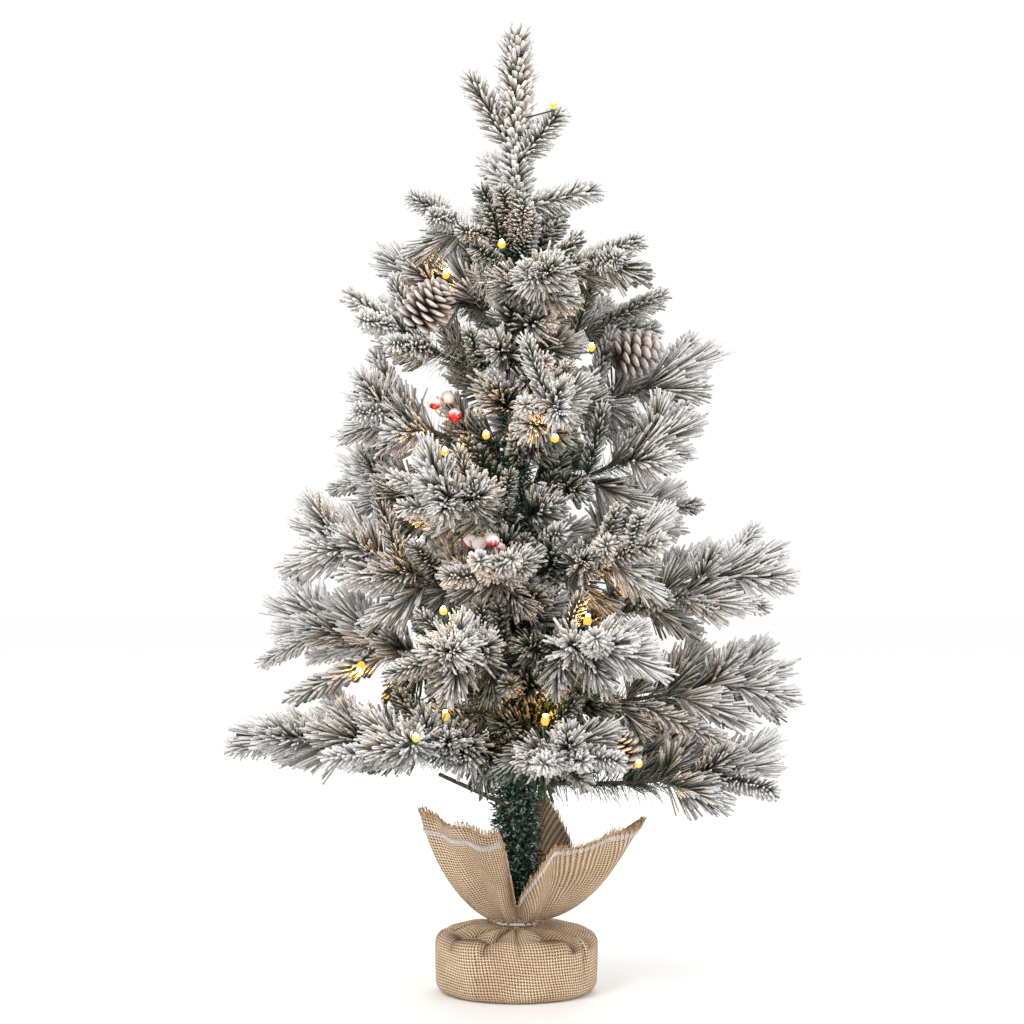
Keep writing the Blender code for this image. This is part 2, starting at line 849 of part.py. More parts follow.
def makeCells():
    box = caseSizes()
    pitch = 2 * cellRadius + clearance
    middle = (box["bay_front"] + box["groove_front"]) / 2
    foot = box["bay_bottom"] + 2 * clearance + contactThickness
    for number in range(cellCount):
        outline = [
            (0.0, cellLength),
            (terminalRadius, cellLength),
            (terminalRadius, cellLength - terminalHeight),
            (cellRadius, cellLength - terminalHeight),
            (cellRadius, 0.0),
            (0.0, 0.0),
        ]
        name = f"battery_cell_{number + 1}"
        cell = newObject(name, turnedMesh(name, outline, 14), cellMaterial)
        cell.location = ((number - (cellCount - 1) / 2) * pitch, middle, foot)
    for name, height in (
        ("contact_plate_bottom", box["bay_bottom"] + clearance),
        ("contact_plate_top", box["bay_top"] - clearance - contactThickness),
    ):
        half = box["bay_width"] / 2 - clearance
        plate = spanBox(
            name,
            (-half, box["bay_front"] + clearance, height),
            (half, box["groove_front"] - clearance, height + contactThickness),
        )
        newObject(name, plate, contactMaterial)


def makeTwistTie():
    """A wire loop round the wrap and through the lug on the case."""
    steps = 24
    front = wrapRadiusLow + clearance + twistTieRadius + twistTieSlack
    back = lugMiddle()
    radius = (front + back) / 2
    points = [
        (
            radius * math.cos(2 * math.pi * (step + 0.5) / steps),
            (back - front) / 2 + radius * math.sin(2 * math.pi * (step + 0.5) / steps),
            tieHeight(),
        )
        for step in range(steps)
    ]
    mesh = tubeMesh("box_twist_tie", points, [twistTieRadius] * steps, 1, cyclic=True)
    return newObject("box_twist_tie", mesh, tieWireMaterial)


# ---------------------------------------------------------------- main
emptyScene()
partsCollection = newCollection("tabletop_tree")
cuttersCollection = newCollection("cutters")

potMaterial = newMaterial("pot_plastic", (0.05, 0.05, 0.05), 0.5)
cementMaterial = newMaterial("cement", (0.45, 0.44, 0.42), 0.9)
poleMaterial = newMaterial("pole_paint", (0.03, 0.08, 0.04), 0.4, 0.3)
wrapMaterial = newMaterial("dark_tinsel", (0.02, 0.06, 0.03), 0.7)
burlapMaterial = newMaterial("burlap", (0.50, 0.33, 0.18), 0.95)
tieMaterial = newMaterial("white_tie", (0.85, 0.85, 0.82), 0.6)
foliageMaterial = newMaterial("flocked_needles", (0.45, 0.47, 0.44), 0.95)
coneMaterial = newMaterial("pine_cone", (0.22, 0.14, 0.10), 0.85)
berryMaterial = newMaterial("frosted_berry", (0.55, 0.05, 0.06), 0.5)
lampMaterial = newMaterial("warm_lamp", (1.0, 0.72, 0.25), 0.2)
cableMaterial = newMaterial("green_cable", (0.02, 0.09, 0.04), 0.5)
caseMaterial = newMaterial("case_plastic", (0.03, 0.10, 0.05), 0.45)
knobMaterial = newMaterial("knob_plastic", (0.02, 0.02, 0.02), 0.5)
cellMaterial = newMaterial("cell_jacket", (0.08, 0.08, 0.09), 0.35, 0.6)
contactMaterial = newMaterial("contact_metal", (0.75, 0.75, 0.72), 0.3, 1.0)
tieWireMaterial = newMaterial("tie_wire", (0.02, 0.08, 0.04), 0.5)

makePot()
makeCement()
makeSleeve()
makePole()
makeWrap()
makeBag()
makeBagTie()
foldRoots = {layout[0]: makeBranch(layout) for layout in branchLayout}
makeLeader()
makeOrnaments(foldRoots)
makeCase()
makeCover()
makeKnob()
makeCells()
makeTwistTie()
makeCable()
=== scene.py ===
import json
import math
import random

import bmesh
import bpy
import numpy as np
from mathutils import Matrix, Vector

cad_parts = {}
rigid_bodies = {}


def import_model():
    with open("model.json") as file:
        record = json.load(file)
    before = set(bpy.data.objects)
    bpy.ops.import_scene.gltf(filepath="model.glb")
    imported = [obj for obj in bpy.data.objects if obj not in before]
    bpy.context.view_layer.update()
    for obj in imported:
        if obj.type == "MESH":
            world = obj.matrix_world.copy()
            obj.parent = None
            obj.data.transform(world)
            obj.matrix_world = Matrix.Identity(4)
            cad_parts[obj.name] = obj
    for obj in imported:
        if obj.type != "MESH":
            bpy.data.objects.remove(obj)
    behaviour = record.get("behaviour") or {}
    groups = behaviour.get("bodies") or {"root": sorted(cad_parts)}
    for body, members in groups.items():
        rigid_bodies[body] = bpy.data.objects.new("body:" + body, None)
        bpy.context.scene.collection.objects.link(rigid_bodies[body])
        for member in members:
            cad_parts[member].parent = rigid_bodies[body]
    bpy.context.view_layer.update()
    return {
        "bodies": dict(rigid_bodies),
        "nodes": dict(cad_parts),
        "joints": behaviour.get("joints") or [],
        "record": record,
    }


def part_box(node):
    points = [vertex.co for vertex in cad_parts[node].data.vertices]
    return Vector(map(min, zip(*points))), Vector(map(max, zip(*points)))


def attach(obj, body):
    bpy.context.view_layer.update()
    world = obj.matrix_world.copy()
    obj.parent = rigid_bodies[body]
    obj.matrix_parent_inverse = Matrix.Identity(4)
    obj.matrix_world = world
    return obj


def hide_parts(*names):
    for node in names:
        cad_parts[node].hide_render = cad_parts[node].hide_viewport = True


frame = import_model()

# Flocked tabletop tree. Azimuth 0 is the tree's right (+X), 90 its back, 270 its front.

view = {
    "distance": 2.64,
    "height": 0.50,
    "lens": 100.3,
    "shift": (-0.0040, -0.0605),
}

tree = {
    "spiralStart": 0.1950,  # branch roots sit on this spiral round the pole
    "spiralPitch": 0.0660,
    "wrapBottom": 0.0580,
    "wrapRadiusLow": 0.0160,
    "wrapRadiusHigh": 0.0095,
    "poleTop": 0.7000,
    "stemRadius": 0.0022,
    "tipCurl": 14.0,
    "gap": 0.0003,
    "longLobe": 0.0175,
    "shortLobe": 0.0120,
}

# name, azimuth, turn of the spiral, rise, length, twist of the fan, then the sprigs:
# the tip's and each side twig's, where l is long needles and s short ones
branchLayout = [
    ("right_1", -13, 0, 6, 0.238, 25, "lllls"),
    ("back_right_1", 32, 0, 8, 0.205, 5, "lllls"),
    ("back_left_1", 150, 0, 6, 0.215, -5, "lllls"),
    ("left_1", 188, 0, 3, 0.255, 20, "lllls"),
    ("front_left_1", 236, 0, 2, 0.225, 15, "llsls"),
    ("front_right_1", 286, 0, -4, 0.200, 0, "sslss"),
    ("right_2", 2, 1, 9, 0.250, 35, "lllll"),
    ("back_2", 92, 1, 14, 0.215, 0, "lllls"),
    ("left_2", 166, 1, 16, 0.242, 40, "llsll"),
    ("front_left_2", 246, 1, 8, 0.185, 20, "llsl"),
    ("front_right_2", 300, 1, 6, 0.190, -10, "lllls"),
    ("right_3", -2, 2, 20, 0.258, 35, "lllsl"),
    ("back_3", 118, 2, 20, 0.185, 10, "llls"),
    ("left_3", 191, 2, 22, 0.212, -35, "lllls"),
    ("front_left_3", 258, 2, 12, 0.150, 10, "ssss"),
    ("front_right_3", 318, 2, 12, 0.165, -15, "sss"),
    ("right_4", 28, 3, 22, 0.185, 30, "llls"),
    ("back_4", 96, 3, 24, 0.165, 0, "llls"),
    ("left_4", 167, 3, 24, 0.172, 35, "llll"),
    ("front_left_4", 240, 3, 14, 0.160, 25, "lls"),
    ("right_5", -14, 4, 25, 0.180, 35, "lsls"),
    ("left_5", 191, 4, 24, 0.158, -35, "llls"),
    ("front_right_5", 288, 4, 20, 0.135, 10, "lls"),
    ("right_6", 14, 5, 20, 0.205, 30, "llls"),
    ("back_6", 82, 5, 30, 0.125, 0, "lls"),
    ("left_6", 200, 5, 28, 0.170, -30, "ssls"),
    ("right_7", 28, 6, 18, 0.150, 30, "sss"),
    ("left_7", 165, 6, 28, 0.145, 25, "lls"),
    ("front_right_7", 290, 6, 14, 0.100, 0, "lls"),
    ("right_8", -12, 7, 20, 0.112, 20, "sss"),
    ("left_8", 190, 7, 26, 0.098, -20, "sss"),
]

# root height, reach in X, Y and Z of the leader's side sprigs
leaderTwigs = [
    (0.768, (-0.042, -0.006, 0.076)),
    (0.762, (0.040, -0.022, 0.048)),
    (0.722, (0.072, -0.006, 0.018)),
    (0.738, (-0.026, 0.046, 0.034)),
]

random.seed(11)
noiseDraw = np.random.RandomState(7)


# shader nodes

def newMaterial(name, roughness=0.8, metallic=0.0):
    material = bpy.data.materials.new(name)
    material.use_nodes = True
    shader = material.node_tree.nodes["Principled BSDF"]
    shader.inputs["Roughness"].default_value = roughness
    shader.inputs["Metallic"].default_value = metallic
    return material, material.node_tree, shader


def noisePattern(nodes, scale, detail=4.0, roughness=0.5, source="Object"):
    place = nodes.nodes.new("ShaderNodeTexCoord")
    pattern = nodes.nodes.new("ShaderNodeTexNoise")
    pattern.inputs["Scale"].default_value = scale
    pattern.inputs["Detail"].default_value = detail
    pattern.inputs["Roughness"].default_value = roughness
    nodes.links.new(place.outputs[source], pattern.inputs["Vector"])
    return pattern.outputs["Fac"]


def colourRamp(nodes, factor, stops):
    ramp = nodes.nodes.new("ShaderNodeValToRGB")
    band = ramp.color_ramp
    band.elements[0].position, band.elements[0].color = stops[0][0], (*stops[0][1], 1)
    band.elements[1].position, band.elements[1].color = stops[-1][0], (*stops[-1][1], 1)
    for position, colour in stops[1:-1]:
        band.elements.new(position).color = (*colour, 1)
    nodes.links.new(factor, ramp.inputs["Fac"])
    return ramp.outputs["Color"]


def addBump(nodes, shader, height, strength, distance):
    bump = nodes.nodes.new("ShaderNodeBump")
    bump.inputs["Strength"].default_value = strength
    bump.inputs["Distance"].default_value = distance
    nodes.links.new(height, bump.inputs["Height"])
    nodes.links.new(bump.outputs["Normal"], shader.inputs["Normal"])


def speckledFinish(name, roughness, scale, stops, bump=None, metallic=0.0, detail=4.0, grit=0.5):
    """A finish whose colour follows one noise, with the same noise as its bump."""
    material, nodes, shader = newMaterial(name, roughness, metallic)
    grain = noisePattern(nodes, scale, detail, grit)
    nodes.links.new(colourRamp(nodes, grain, stops), shader.inputs["Base Color"])
    if bump:
        addBump(nodes, shader, grain, *bump)
    return material


def readAttribute(nodes, name):
    reader = nodes.nodes.new("ShaderNodeAttribute")
    reader.attribute_name = name
    return reader.outputs["Fac"]


def mathNode(nodes, operation, first, second, third=None):
    node = nodes.nodes.new("ShaderNodeMath")
    node.operation = operation
    for socket, value in zip(node.inputs, (first, second, third)):
        if value is None:
            continue
        if isinstance(value, (int, float)):
            socket.default_value = value
        else:
            nodes.links.new(value, socket)
    return node.outputs[0]


def mixColour(nodes, factor, first, second, kind="MIX"):
    node = nodes.nodes.new("ShaderNodeMix")
    node.data_type = "RGBA"
    node.blend_type = kind
    for socket, value in ((node.inputs[0], factor), (node.inputs[6], first), (node.inputs[7], second)):
        if isinstance(value, (int, float)):
            socket.default_value = value
        elif isinstance(value, tuple):
            socket.default_value = (*value, 1)
        else:
            nodes.links.new(value, socket)
    return node.outputs[2]


needleColours = {
    "green": (0.020, 0.050, 0.022),
    "paleGreen": (0.085, 0.118, 0.066),
    "greyBrown": (0.335, 0.305, 0.272),
    "flock": (0.65, 0.635, 0.62),
    "white": (0.90, 0.895, 0.885),
}


def makeNeedleMaterial():
    material, nodes, shader = newMaterial("flocked_needles", 0.95)
    speckle = noisePattern(nodes, 430.0, 3.0, 0.6)
    flock = readAttribute(nodes, "flock")
    spread = mathNode(nodes, "MULTIPLY_ADD", speckle, 0.50, -0.25)
    cover = mathNode(nodes, "ADD", flock, spread)
    colour = colourRamp(nodes, cover, [
        (0.10, needleColours["green"]),
        (0.30, needleColours["paleGreen"]),
        (0.42, needleColours["greyBrown"]),
        (0.66, needleColours["flock"]),
        (0.95, needleColours["white"]),
    ])
    nodes.links.new(colour, shader.inputs["Base Color"])
    addBump(nodes, shader, speckle, 0.6, 0.0006)
    return material


def makeStemMaterial():
    return speckledFinish("wire_stem", 0.85, 300.0, [
        (0.35, (0.035, 0.030, 0.020)), (0.60, (0.10, 0.085, 0.06)), (0.80, (0.35, 0.33, 0.30)),
    ], (0.5, 0.0005))


def makeTinselMaterial():
    material, nodes, shader = newMaterial("dark_tinsel", 0.30)
    patch = noisePattern(nodes, 230.0, 2.0)
    # the pale patches are partly white flock and partly painted glints
    colour = colourRamp(nodes, patch, [
        (0.38, (0.006, 0.022, 0.012)), (0.50, (0.018, 0.066, 0.033)), (0.57, (0.06, 0.15, 0.085)),
        (0.61, (0.66, 0.72, 0.68)),
    ])
    nodes.links.new(colour, shader.inputs["Base Color"])
    addBump(nodes, shader, noisePattern(nodes, 900.0), 0.3, 0.0003)
    return material


# sprigs: small meshes that are placed along the branches

longSprig = {
    "clumps": 56, "inClump": 2, "length": 0.090, "needle": 0.047, "radius": 0.00142, "tilt": (37, 9),
}
shortSprig = {"needles": 124, "length": 0.075, "needle": 0.0172, "radius": 0.00165, "tilt": (46, 32)}
innerSprig = {"needles": 130, "length": 0.080, "needle": 0.024, "radius": 0.00050, "tilt": (80, 50)}
goldenTurn = math.radians(137.5)


def unitNeedle(sides, foot, tip, waist):
    """One closed needle up +Z, one unit long, with a waist ring or none."""
    shape = bmesh.new()
    bmesh.ops.create_cone(
        shape, cap_ends=True, segments=sides, radius1=foot, radius2=tip, depth=1.0,
        matrix=Matrix.Translation((0, 0, 0.5)),
    )
    if waist:
        bmesh.ops.bisect_plane(
            shape, geom=list(shape.verts) + list(shape.edges) + list(shape.faces),
            plane_co=(0, 0, 0.7), plane_no=(0, 0, 1),
        )
        ring = [corner for corner in shape.verts if 0.1 < corner.co.z < 0.9]
        bmesh.ops.scale(shape, vec=(waist, waist, 1), verts=ring)
    for face in shape.faces:
        face.smooth = True
    mesh = bpy.data.meshes.new("unit_needle")
    shape.to_mesh(mesh)
    shape.free()
    return mesh


def needleMatrix(start, direction, turn, width, depth, length):
    """Lays the unit needle from start along a direction."""
    track = direction.to_track_quat("Z", "X").to_matrix().to_4x4()
    size = Matrix.Diagonal((width, depth, length, 1.0))
    return Matrix.Translation(start) @ track @ Matrix.Rotation(turn, 4, "Z") @ size


def leaning(tilt, turn):
    return Vector((math.cos(tilt), math.sin(tilt) * math.cos(turn), math.sin(tilt) * math.sin(turn)))


def longNeedles(rule):
    """Needles in clumps of a few that the flock has stuck together."""
    for clump in range(rule["clumps"]):
        share = (clump + 0.5) / rule["clumps"]
        low, high = rule["tilt"]
        tilt = math.radians(low + (high - low) * share) * random.uniform(0.82, 1.18)
        turn = goldenTurn * clump + random.uniform(-0.3, 0.3)
        start = Vector((rule["length"] * (0.01 + 0.55 * share), 0, 0))
        size = rule["needle"] * random.uniform(0.80, 1.08) * (1.0 - 0.12 * share)
        for needle in range(rule["inClump"]):
            aside = turn + random.uniform(-0.09, 0.09) / max(math.sin(tilt), 0.2)
            direction = leaning(tilt + random.uniform(-0.05, 0.05), aside)
            radius = rule["radius"] * random.uniform(0.8, 1.3)
            yield needleMatrix(
                start + Vector((random.uniform(-0.003, 0.003), 0, 0)), direction,
                random.uniform(0, 6.28), radius, radius * 0.85, size * random.uniform(0.86, 1.06),
            )


def shortNeedles(rule):
    """Flat needles all along the sprig, shorter and steeper at its tip."""
    for needle in range(rule["needles"]):
        share = (needle + 0.5) / rule["needles"]
        low, high = rule["tilt"]
        tilt = math.radians(low + (high - low) * share ** 3) * random.uniform(0.85, 1.12)
        if share > 0.985:
            tilt *= 0.4
        start = Vector((rule["length"] * (0.02 + 0.88 * share), 0, 0))
        size = rule["needle"] * random.uniform(0.85, 1.08) * (1.0 - 0.12 * share ** 4)
        radius = rule["radius"] * random.uniform(0.85, 1.2)
        yield needleMatrix(
            start, leaning(tilt, goldenTurn * needle + random.uniform(-0.2, 0.2)),
            random.uniform(-0.4, 0.4), radius, radius * 0.55, size,
        )


def innerNeedles(rule):
    """Thin needles with little flock, close to the pole."""
    for needle in range(rule["needles"]):
        share = (needle + 0.5) / rule["needles"]
        low, high = rule["tilt"]
        tilt = math.radians(low + (high - low) * share) * random.uniform(0.7, 1.25)
        size = rule["needle"] * random.uniform(0.7, 1.15)
        yield needleMatrix(
            Vector((rule["length"] * share, 0, 0)), leaning(tilt, goldenTurn * needle),
            random.uniform(0, 6.28), rule["radius"], rule["radius"], size,
        )


def fillSprig(name, needle, places):
    shape = bmesh.new()
    for place in places:
        copy = needle.copy()
        copy.transform(place)
        shape.from_mesh(copy)
        bpy.data.meshes.remove(copy)
    mesh = bpy.data.meshes.new(name)
    shape.to_mesh(mesh)
    shape.free()
    return mesh


print("stage: sprigs")
longNeedle = unitNeedle(3, 0.65, 0.85, 1.2)
flatNeedle = unitNeedle(4, 0.60, 0.85, 1.25)
thinNeedle = unitNeedle(3, 0.90, 0.30, 0)
sprigs = {
    "l": [fillSprig(f"long_sprig_{n}", longNeedle, longNeedles(longSprig)) for n in range(5)],
    "s": [fillSprig(f"short_sprig_{n}", flatNeedle, shortNeedles(shortSprig)) for n in range(4)],
    "i": [fillSprig(f"inner_sprig_{n}", thinNeedle, innerNeedles(innerSprig)) for n in range(3)],
}
sprigLength = {"l": longSprig["length"], "s": shortSprig["length"], "i": innerSprig["length"]}
unitHeights = {}
needleCorners = {}
for kind, needle in (("l", longNeedle), ("s", flatNeedle), ("i", thinNeedle)):
    heights = np.array([corner.co.z for corner in needle.vertices], np.float32)
    needleCorners[kind] = len(heights)
    unitHeights[kind] = np.tile(heights, len(sprigs[kind][0].vertices) // len(heights))


# branches, in the same frame as the CAD ones

def wrapRadiusAt(height):
    share = (height - tree["wrapBottom"]) / (tree["poleTop"] - tree["wrapBottom"])
    return tree["wrapRadiusLow"] + (tree["wrapRadiusHigh"] - tree["wrapRadiusLow"]) * share


def rootMatrix(azimuth, turn):
    height = tree["spiralStart"] + tree["spiralPitch"] * (turn + azimuth / 360.0)
    radius = wrapRadiusAt(height) + tree["gap"] + tree["stemRadius"]
    bearing = math.radians(azimuth)
    spot = Vector((radius * math.cos(bearing), radius * math.sin(bearing), height))
    return Matrix.Translation(spot) @ Matrix.Rotation(bearing, 4, "Z")


def stemPoint(distance, rise, length):
    x, z = 0.0, 0.0
    for step in range(12):
        share = distance * (step + 0.5) / 12 / length
        slope = math.radians(rise + tree["tipCurl"] * (share - 0.5))
        x += math.cos(slope) * distance / 12
        z += math.sin(slope) * distance / 12
    return Vector((x, 0.0, z))


def stemDirection(distance, rise, length):
    slope = math.radians(rise + tree["tipCurl"] * (distance / length - 0.5))
    return Vector((math.cos(slope), 0.0, math.sin(slope)))


def fanSide(direction, twist):
    across = Vector((0.0, 1.0, 0.0))
    across.rotate(Matrix.Rotation(math.radians(twist), 3, direction))
    return across


# how the flock is spread; the upward and low terms also darken undersides and low inner needles as painted
# shade
flockRule = {
    "foot": 0.42, "alongNeedle": 0.20, "outward": 0.20, "upward": 0.44,
    "spread": 0.02, "perNeedle": 0.120,
    "lowTop": 0.36, "lowRange": 0.16, "low": 0.34,
}


class Foliage:
    """Collects the sprigs and wires of one branch."""

    def __init__(self):
        self.needles = bmesh.new()
        self.wires = bmesh.new()
        self.shades = []
        self.heights = []

    def addSprig(self, kind, start, direction, reach, width=1.0, shade=0.0):
        mesh = random.choice(sprigs[kind]).copy()
        track = direction.to_track_quat("X", "Z").to_matrix().to_4x4()
        stretch = reach / sprigLength[kind]
        size = Matrix.Diagonal((stretch, width, width, 1.0))
        roll = Matrix.Rotation(random.uniform(0, 6.28), 4, "X")
        mesh.transform(Matrix.Translation(start) @ track @ roll @ size)
        self.needles.from_mesh(mesh)
        shade += random.uniform(-0.09, 0.09)
        needles = len(mesh.vertices) // needleCorners[kind]
        strands = noiseDraw.normal(shade, flockRule["perNeedle"], needles).astype(np.float32)
        self.shades.append(np.repeat(strands, needleCorners[kind]))
        self.heights.append(unitHeights[kind])
        bpy.data.meshes.remove(mesh)

    def addWire(self, start, end, radius, tipRadius):
        along = end - start
        place = Matrix.Translation((start + end) / 2) @ along.to_track_quat("Z", "Y").to_matrix().to_4x4()
        bmesh.ops.create_cone(
            self.wires, cap_ends=True, segments=6, radius1=radius, radius2=tipRadius,
            depth=along.length, matrix=place,
        )

    def addTwig(self, kind, root, out, reach):
        self.addSprig(kind, root + out * twigFoot, out, reach)
        self.addWire(root, root + out * reach * 0.9, *wire["twig"])

    def paintFlock(self, mesh, inner, outer):
        """Flock lies thick on top of the needles, at their tips and far out on the branch; the darker
        undersides and the darker low parts near the pole are partly thinner flock and partly painted shade.
        """
        count = len(mesh.vertices)
        places = np.empty(count * 3, np.float32)
        normals = np.empty(count * 3, np.float32)
        mesh.vertices.foreach_get("co", places)
        mesh.vertices.foreach_get("normal", normals)
        places, normals = places.reshape(-1, 3), normals.reshape(-1, 3)
        radius = np.hypot(places[:, 0], places[:, 1])
        share = np.clip((radius - inner) / (outer - inner), 0.0, 1.0)
        flock = flockRule["foot"] + flockRule["outward"] * share + flockRule["upward"] * normals[:, 2]
        flock += flockRule["alongNeedle"] * np.concatenate(self.heights) + np.concatenate(self.shades)
        flock += noiseDraw.normal(0.0, flockRule["spread"], count)
        # partly painted shade: needles low down and near the pole are darkened
        lowness = np.clip((flockRule["lowTop"] - places[:, 2]) / flockRule["lowRange"], 0.0, 1.0)
        flock -= flockRule["low"] * lowness * (1.2 - share)
        mesh.attributes.new("flock", "FLOAT", "POINT")
        mesh.attributes["flock"].data.foreach_set("value", np.clip(flock, 0.0, 1.0).astype(np.float32))


def toPiece(shape, name, material, matrix, body):
    mesh = bpy.data.meshes.new(name)
    shape.to_mesh(mesh)
    shape.free()
    mesh.transform(matrix)
    mesh.materials.append(material)
    piece = bpy.data.objects.new(name, mesh)
    bpy.context.scene.collection.objects.link(piece)
    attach(piece, body)
    return piece


wire = {"stem": (0.0019, 0.0017), "twig": (0.0013, 0.0009), "fill": (0.0011, 0.0008), "steps": 5}
twigFoot = 0.008  # from a stem's middle to a twig's first needles
twigStarts = (0.42, 0.50, 0.66, 0.72)
twigSpread = math.radians(38.0)
fillRule = {"perMetre": 58, "from": 0.06, "to": 0.78, "reach": 0.068, "lean": (1.5, 0.7)}


layoutNamed = {layout[0]: layout for layout in branchLayout}

# lamps that face the front: the branch each hangs on, or none for the pole, and its place in that frame
frontLamps = [
    (None, (0.034, -0.040, 0.809)),
    (None, (-0.013, -0.060, 0.681)),
    ("left_7", (0.050, 0.016, 0.036)),
    (None, (0.068, -0.060, 0.588)),
    (None, (-0.027, -0.060, 0.509)),
    ("front_right_5", (0.098, 0.0, -0.006)),
    ("left_5", (0.057, 0.026, 0.0)),
    ("left_3", (0.076, 0.006, 0.048)),
    ("front_left_2", (0.140, 0.0, 0.049)),
    ("front_left_1", (0.198, 0.042, 0.012)),
    ("right_1", (0.104, -0.034, 0.020)),
]


def frameOf(branch):
    if branch is None:
        return Matrix()
    return rootMatrix(layoutNamed[branch][1], layoutNamed[branch][2])


# nothing grows over these places
keptClear = [(frameOf(branch) @ Vector(place), 0.017) for branch, place in frontLamps]
keptClear.append((Vector((0.004, -0.075, 0.472)), 0.030))
for nodes, radius in (
    (("pine_cone_1", "pine_cone_2", "pine_cone_3", "pine_cone_4"), 0.036),
    (("berries_1", "berries_2", "berries_3"), 0.034),
    (("lamp_1", "lamp_2", "lamp_3", "lamp_4"), 0.020),
):
    for node in nodes:
        low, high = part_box(node)
        keptClear.append(((Vector(low) + Vector(high)) / 2, radius))


def covers(start, end):
    """Whether a sprig from start to end would hide an ornament or a lamp from the front."""
    for spot, radius in keptClear:
        along = end - start
        share = max(0.0, min(1.0, (spot - start).dot(along) / along.length_squared))
        away = start + along * share - spot
        if math.hypot(away.x, away.z) < radius and away.y < 0.010 and abs(away.y) < 0.12:
            return True
    return False


# height, and how far out the foliage reaches there
outline = [
    (0.175, 0.050), (0.200, 0.150), (0.235, 0.262), (0.35, 0.250), (0.45, 0.215), (0.55, 0.180),
    (0.65, 0.145), (0.70, 0.100), (0.72, 0.050), (0.745, 0.019), (0.80, 0.012), (0.91, 0.010),
]


def inOutline(spot):
    heights = [height for height, reach in outline]
    reaches = [reach for height, reach in outline]
    return math.hypot(spot.x, spot.y) <= float(np.interp(spot.z, heights, reaches))


# more twigs: the branch, share of its stem, direction in its own frame, reach and kind
moreTwigs = [
    ("left_2", 0.42, (0.86, 0.22, -0.40), 0.100, "s"),
    ("left_5", 0.30, (0.80, -0.45, 0.15), 0.090, "l"),
    ("left_7", 0.22, (0.40, -0.10, 0.90), 0.080, "s"),
    ("left_7", 0.10, (0.50, 0.25, 0.75), 0.070, "l"),
    ("left_3", 0.30, (0.75, 0.30, -0.45), 0.080, "l"),
    ("right_5", 0.30, (0.80, -0.30, -0.40), 0.080, "l"),
    ("right_2", 0.35, (0.75, -0.45, -0.30), 0.090, "s"),
    ("front_left_1", 0.25, (0.80, 0.45, -0.10), 0.090, "l"),
    ("front_left_1", 0.12, (0.70, 0.50, -0.35), 0.075, "l"),
    ("front_right_1", 0.25, (0.80, 0.35, -0.45), 0.070, "s"),
]


def growBranch(layout):
    name, azimuth, turn, rise, length, twist, kinds = layout
    foliage = Foliage()
    place = rootMatrix(azimuth, turn)
    start = stemPoint(length * 0.56, rise, length)
    tip = stemPoint(length, rise, length)
    foliage.addSprig(kinds[0], start, (tip - start).normalized(), (tip - start).length)
    steps = wire["steps"]
    for step in range(steps):
        low = stemPoint(length * 0.95 * step / steps, rise, length)
        high = stemPoint(length * 0.95 * (step + 1) / steps, rise, length)
        foliage.addWire(low, high, *wire["stem"])
    for number, kind in enumerate(kinds[1:]):
        share = twigStarts[number]
        side = 1 if number % 2 == 0 else -1
        root = stemPoint(length * share, rise, length)
        direction = stemDirection(length * share, rise, length)
        across = fanSide(direction, twist)
        out = direction * math.cos(twigSpread) + across * (side * math.sin(twigSpread))
        reach = length * 0.34 * (1.0 if number < 2 else 0.8)
        foliage.addTwig(kind, root, out, reach)
    for branch, share, direction, reach, kind in moreTwigs:
        if branch == name:
            root, out = stemPoint(length * share, rise, length), Vector(direction).normalized()
            foliage.addTwig(kind, root, out, reach)
    # fuller near the pole: small sprigs all round the stem
    extra = max(3, round(length * fillRule["perMetre"]))
    for number in range(extra):
        share = fillRule["from"] + (fillRule["to"] - fillRule["from"]) * (number + 0.5) / extra
        root = stemPoint(length * share, rise, length)
        direction = stemDirection(length * share, rise, length)
        spin = goldenTurn * number + random.uniform(0, 1.0)
        across = fanSide(direction, twist)
        out = across * math.cos(spin) + direction.cross(across) * math.sin(spin)
        inner, outer = fillRule["lean"]
        lean = inner + (outer - inner) * share
        out = (direction + out * lean * random.uniform(0.8, 1.2)).normalized()
        kind = "s" if number % 3 == 0 else "l"
        shade = -0.16 * (1.0 - share)
        reach = fillRule["reach"] * random.uniform(0.8, 1.1)
        end = place @ (root + out * reach)
        if covers(place @ root, end) or not inOutline(end):
            continue
        foliage.addSprig(kind, root, out, reach, 0.85, shade)
        foliage.addWire(root, root + out * 0.045, *wire["fill"])
    for share in (0.02, 0.22):
        foliage.addSprig(
            "i", stemPoint(length * share, rise, length), stemDirection(0, rise, length), length * 0.3,
            shade=-0.2,
        )
    body = "fold_" + name
    needles = toPiece(foliage.needles, "needles_" + name, needleMaterial, place, body)
    foliage.paintFlock(needles.data, 0.03, 0.20)
    toPiece(foliage.wires, "wires_" + name, stemMaterial, place, body)
    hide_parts("branch_" + name)


# foot height, reach and width of the short sprigs that stand one over the other
leader = {
    "stack": [
        (0.806, 0.084, 1.55), (0.778, 0.098, 1.45), (0.750, 0.080, 1.35), (0.715, 0.070, 1.40),
        (0.690, 0.060, 1.50),
    ],
    "shade": -0.03, "twigWidth": 1.25,
}


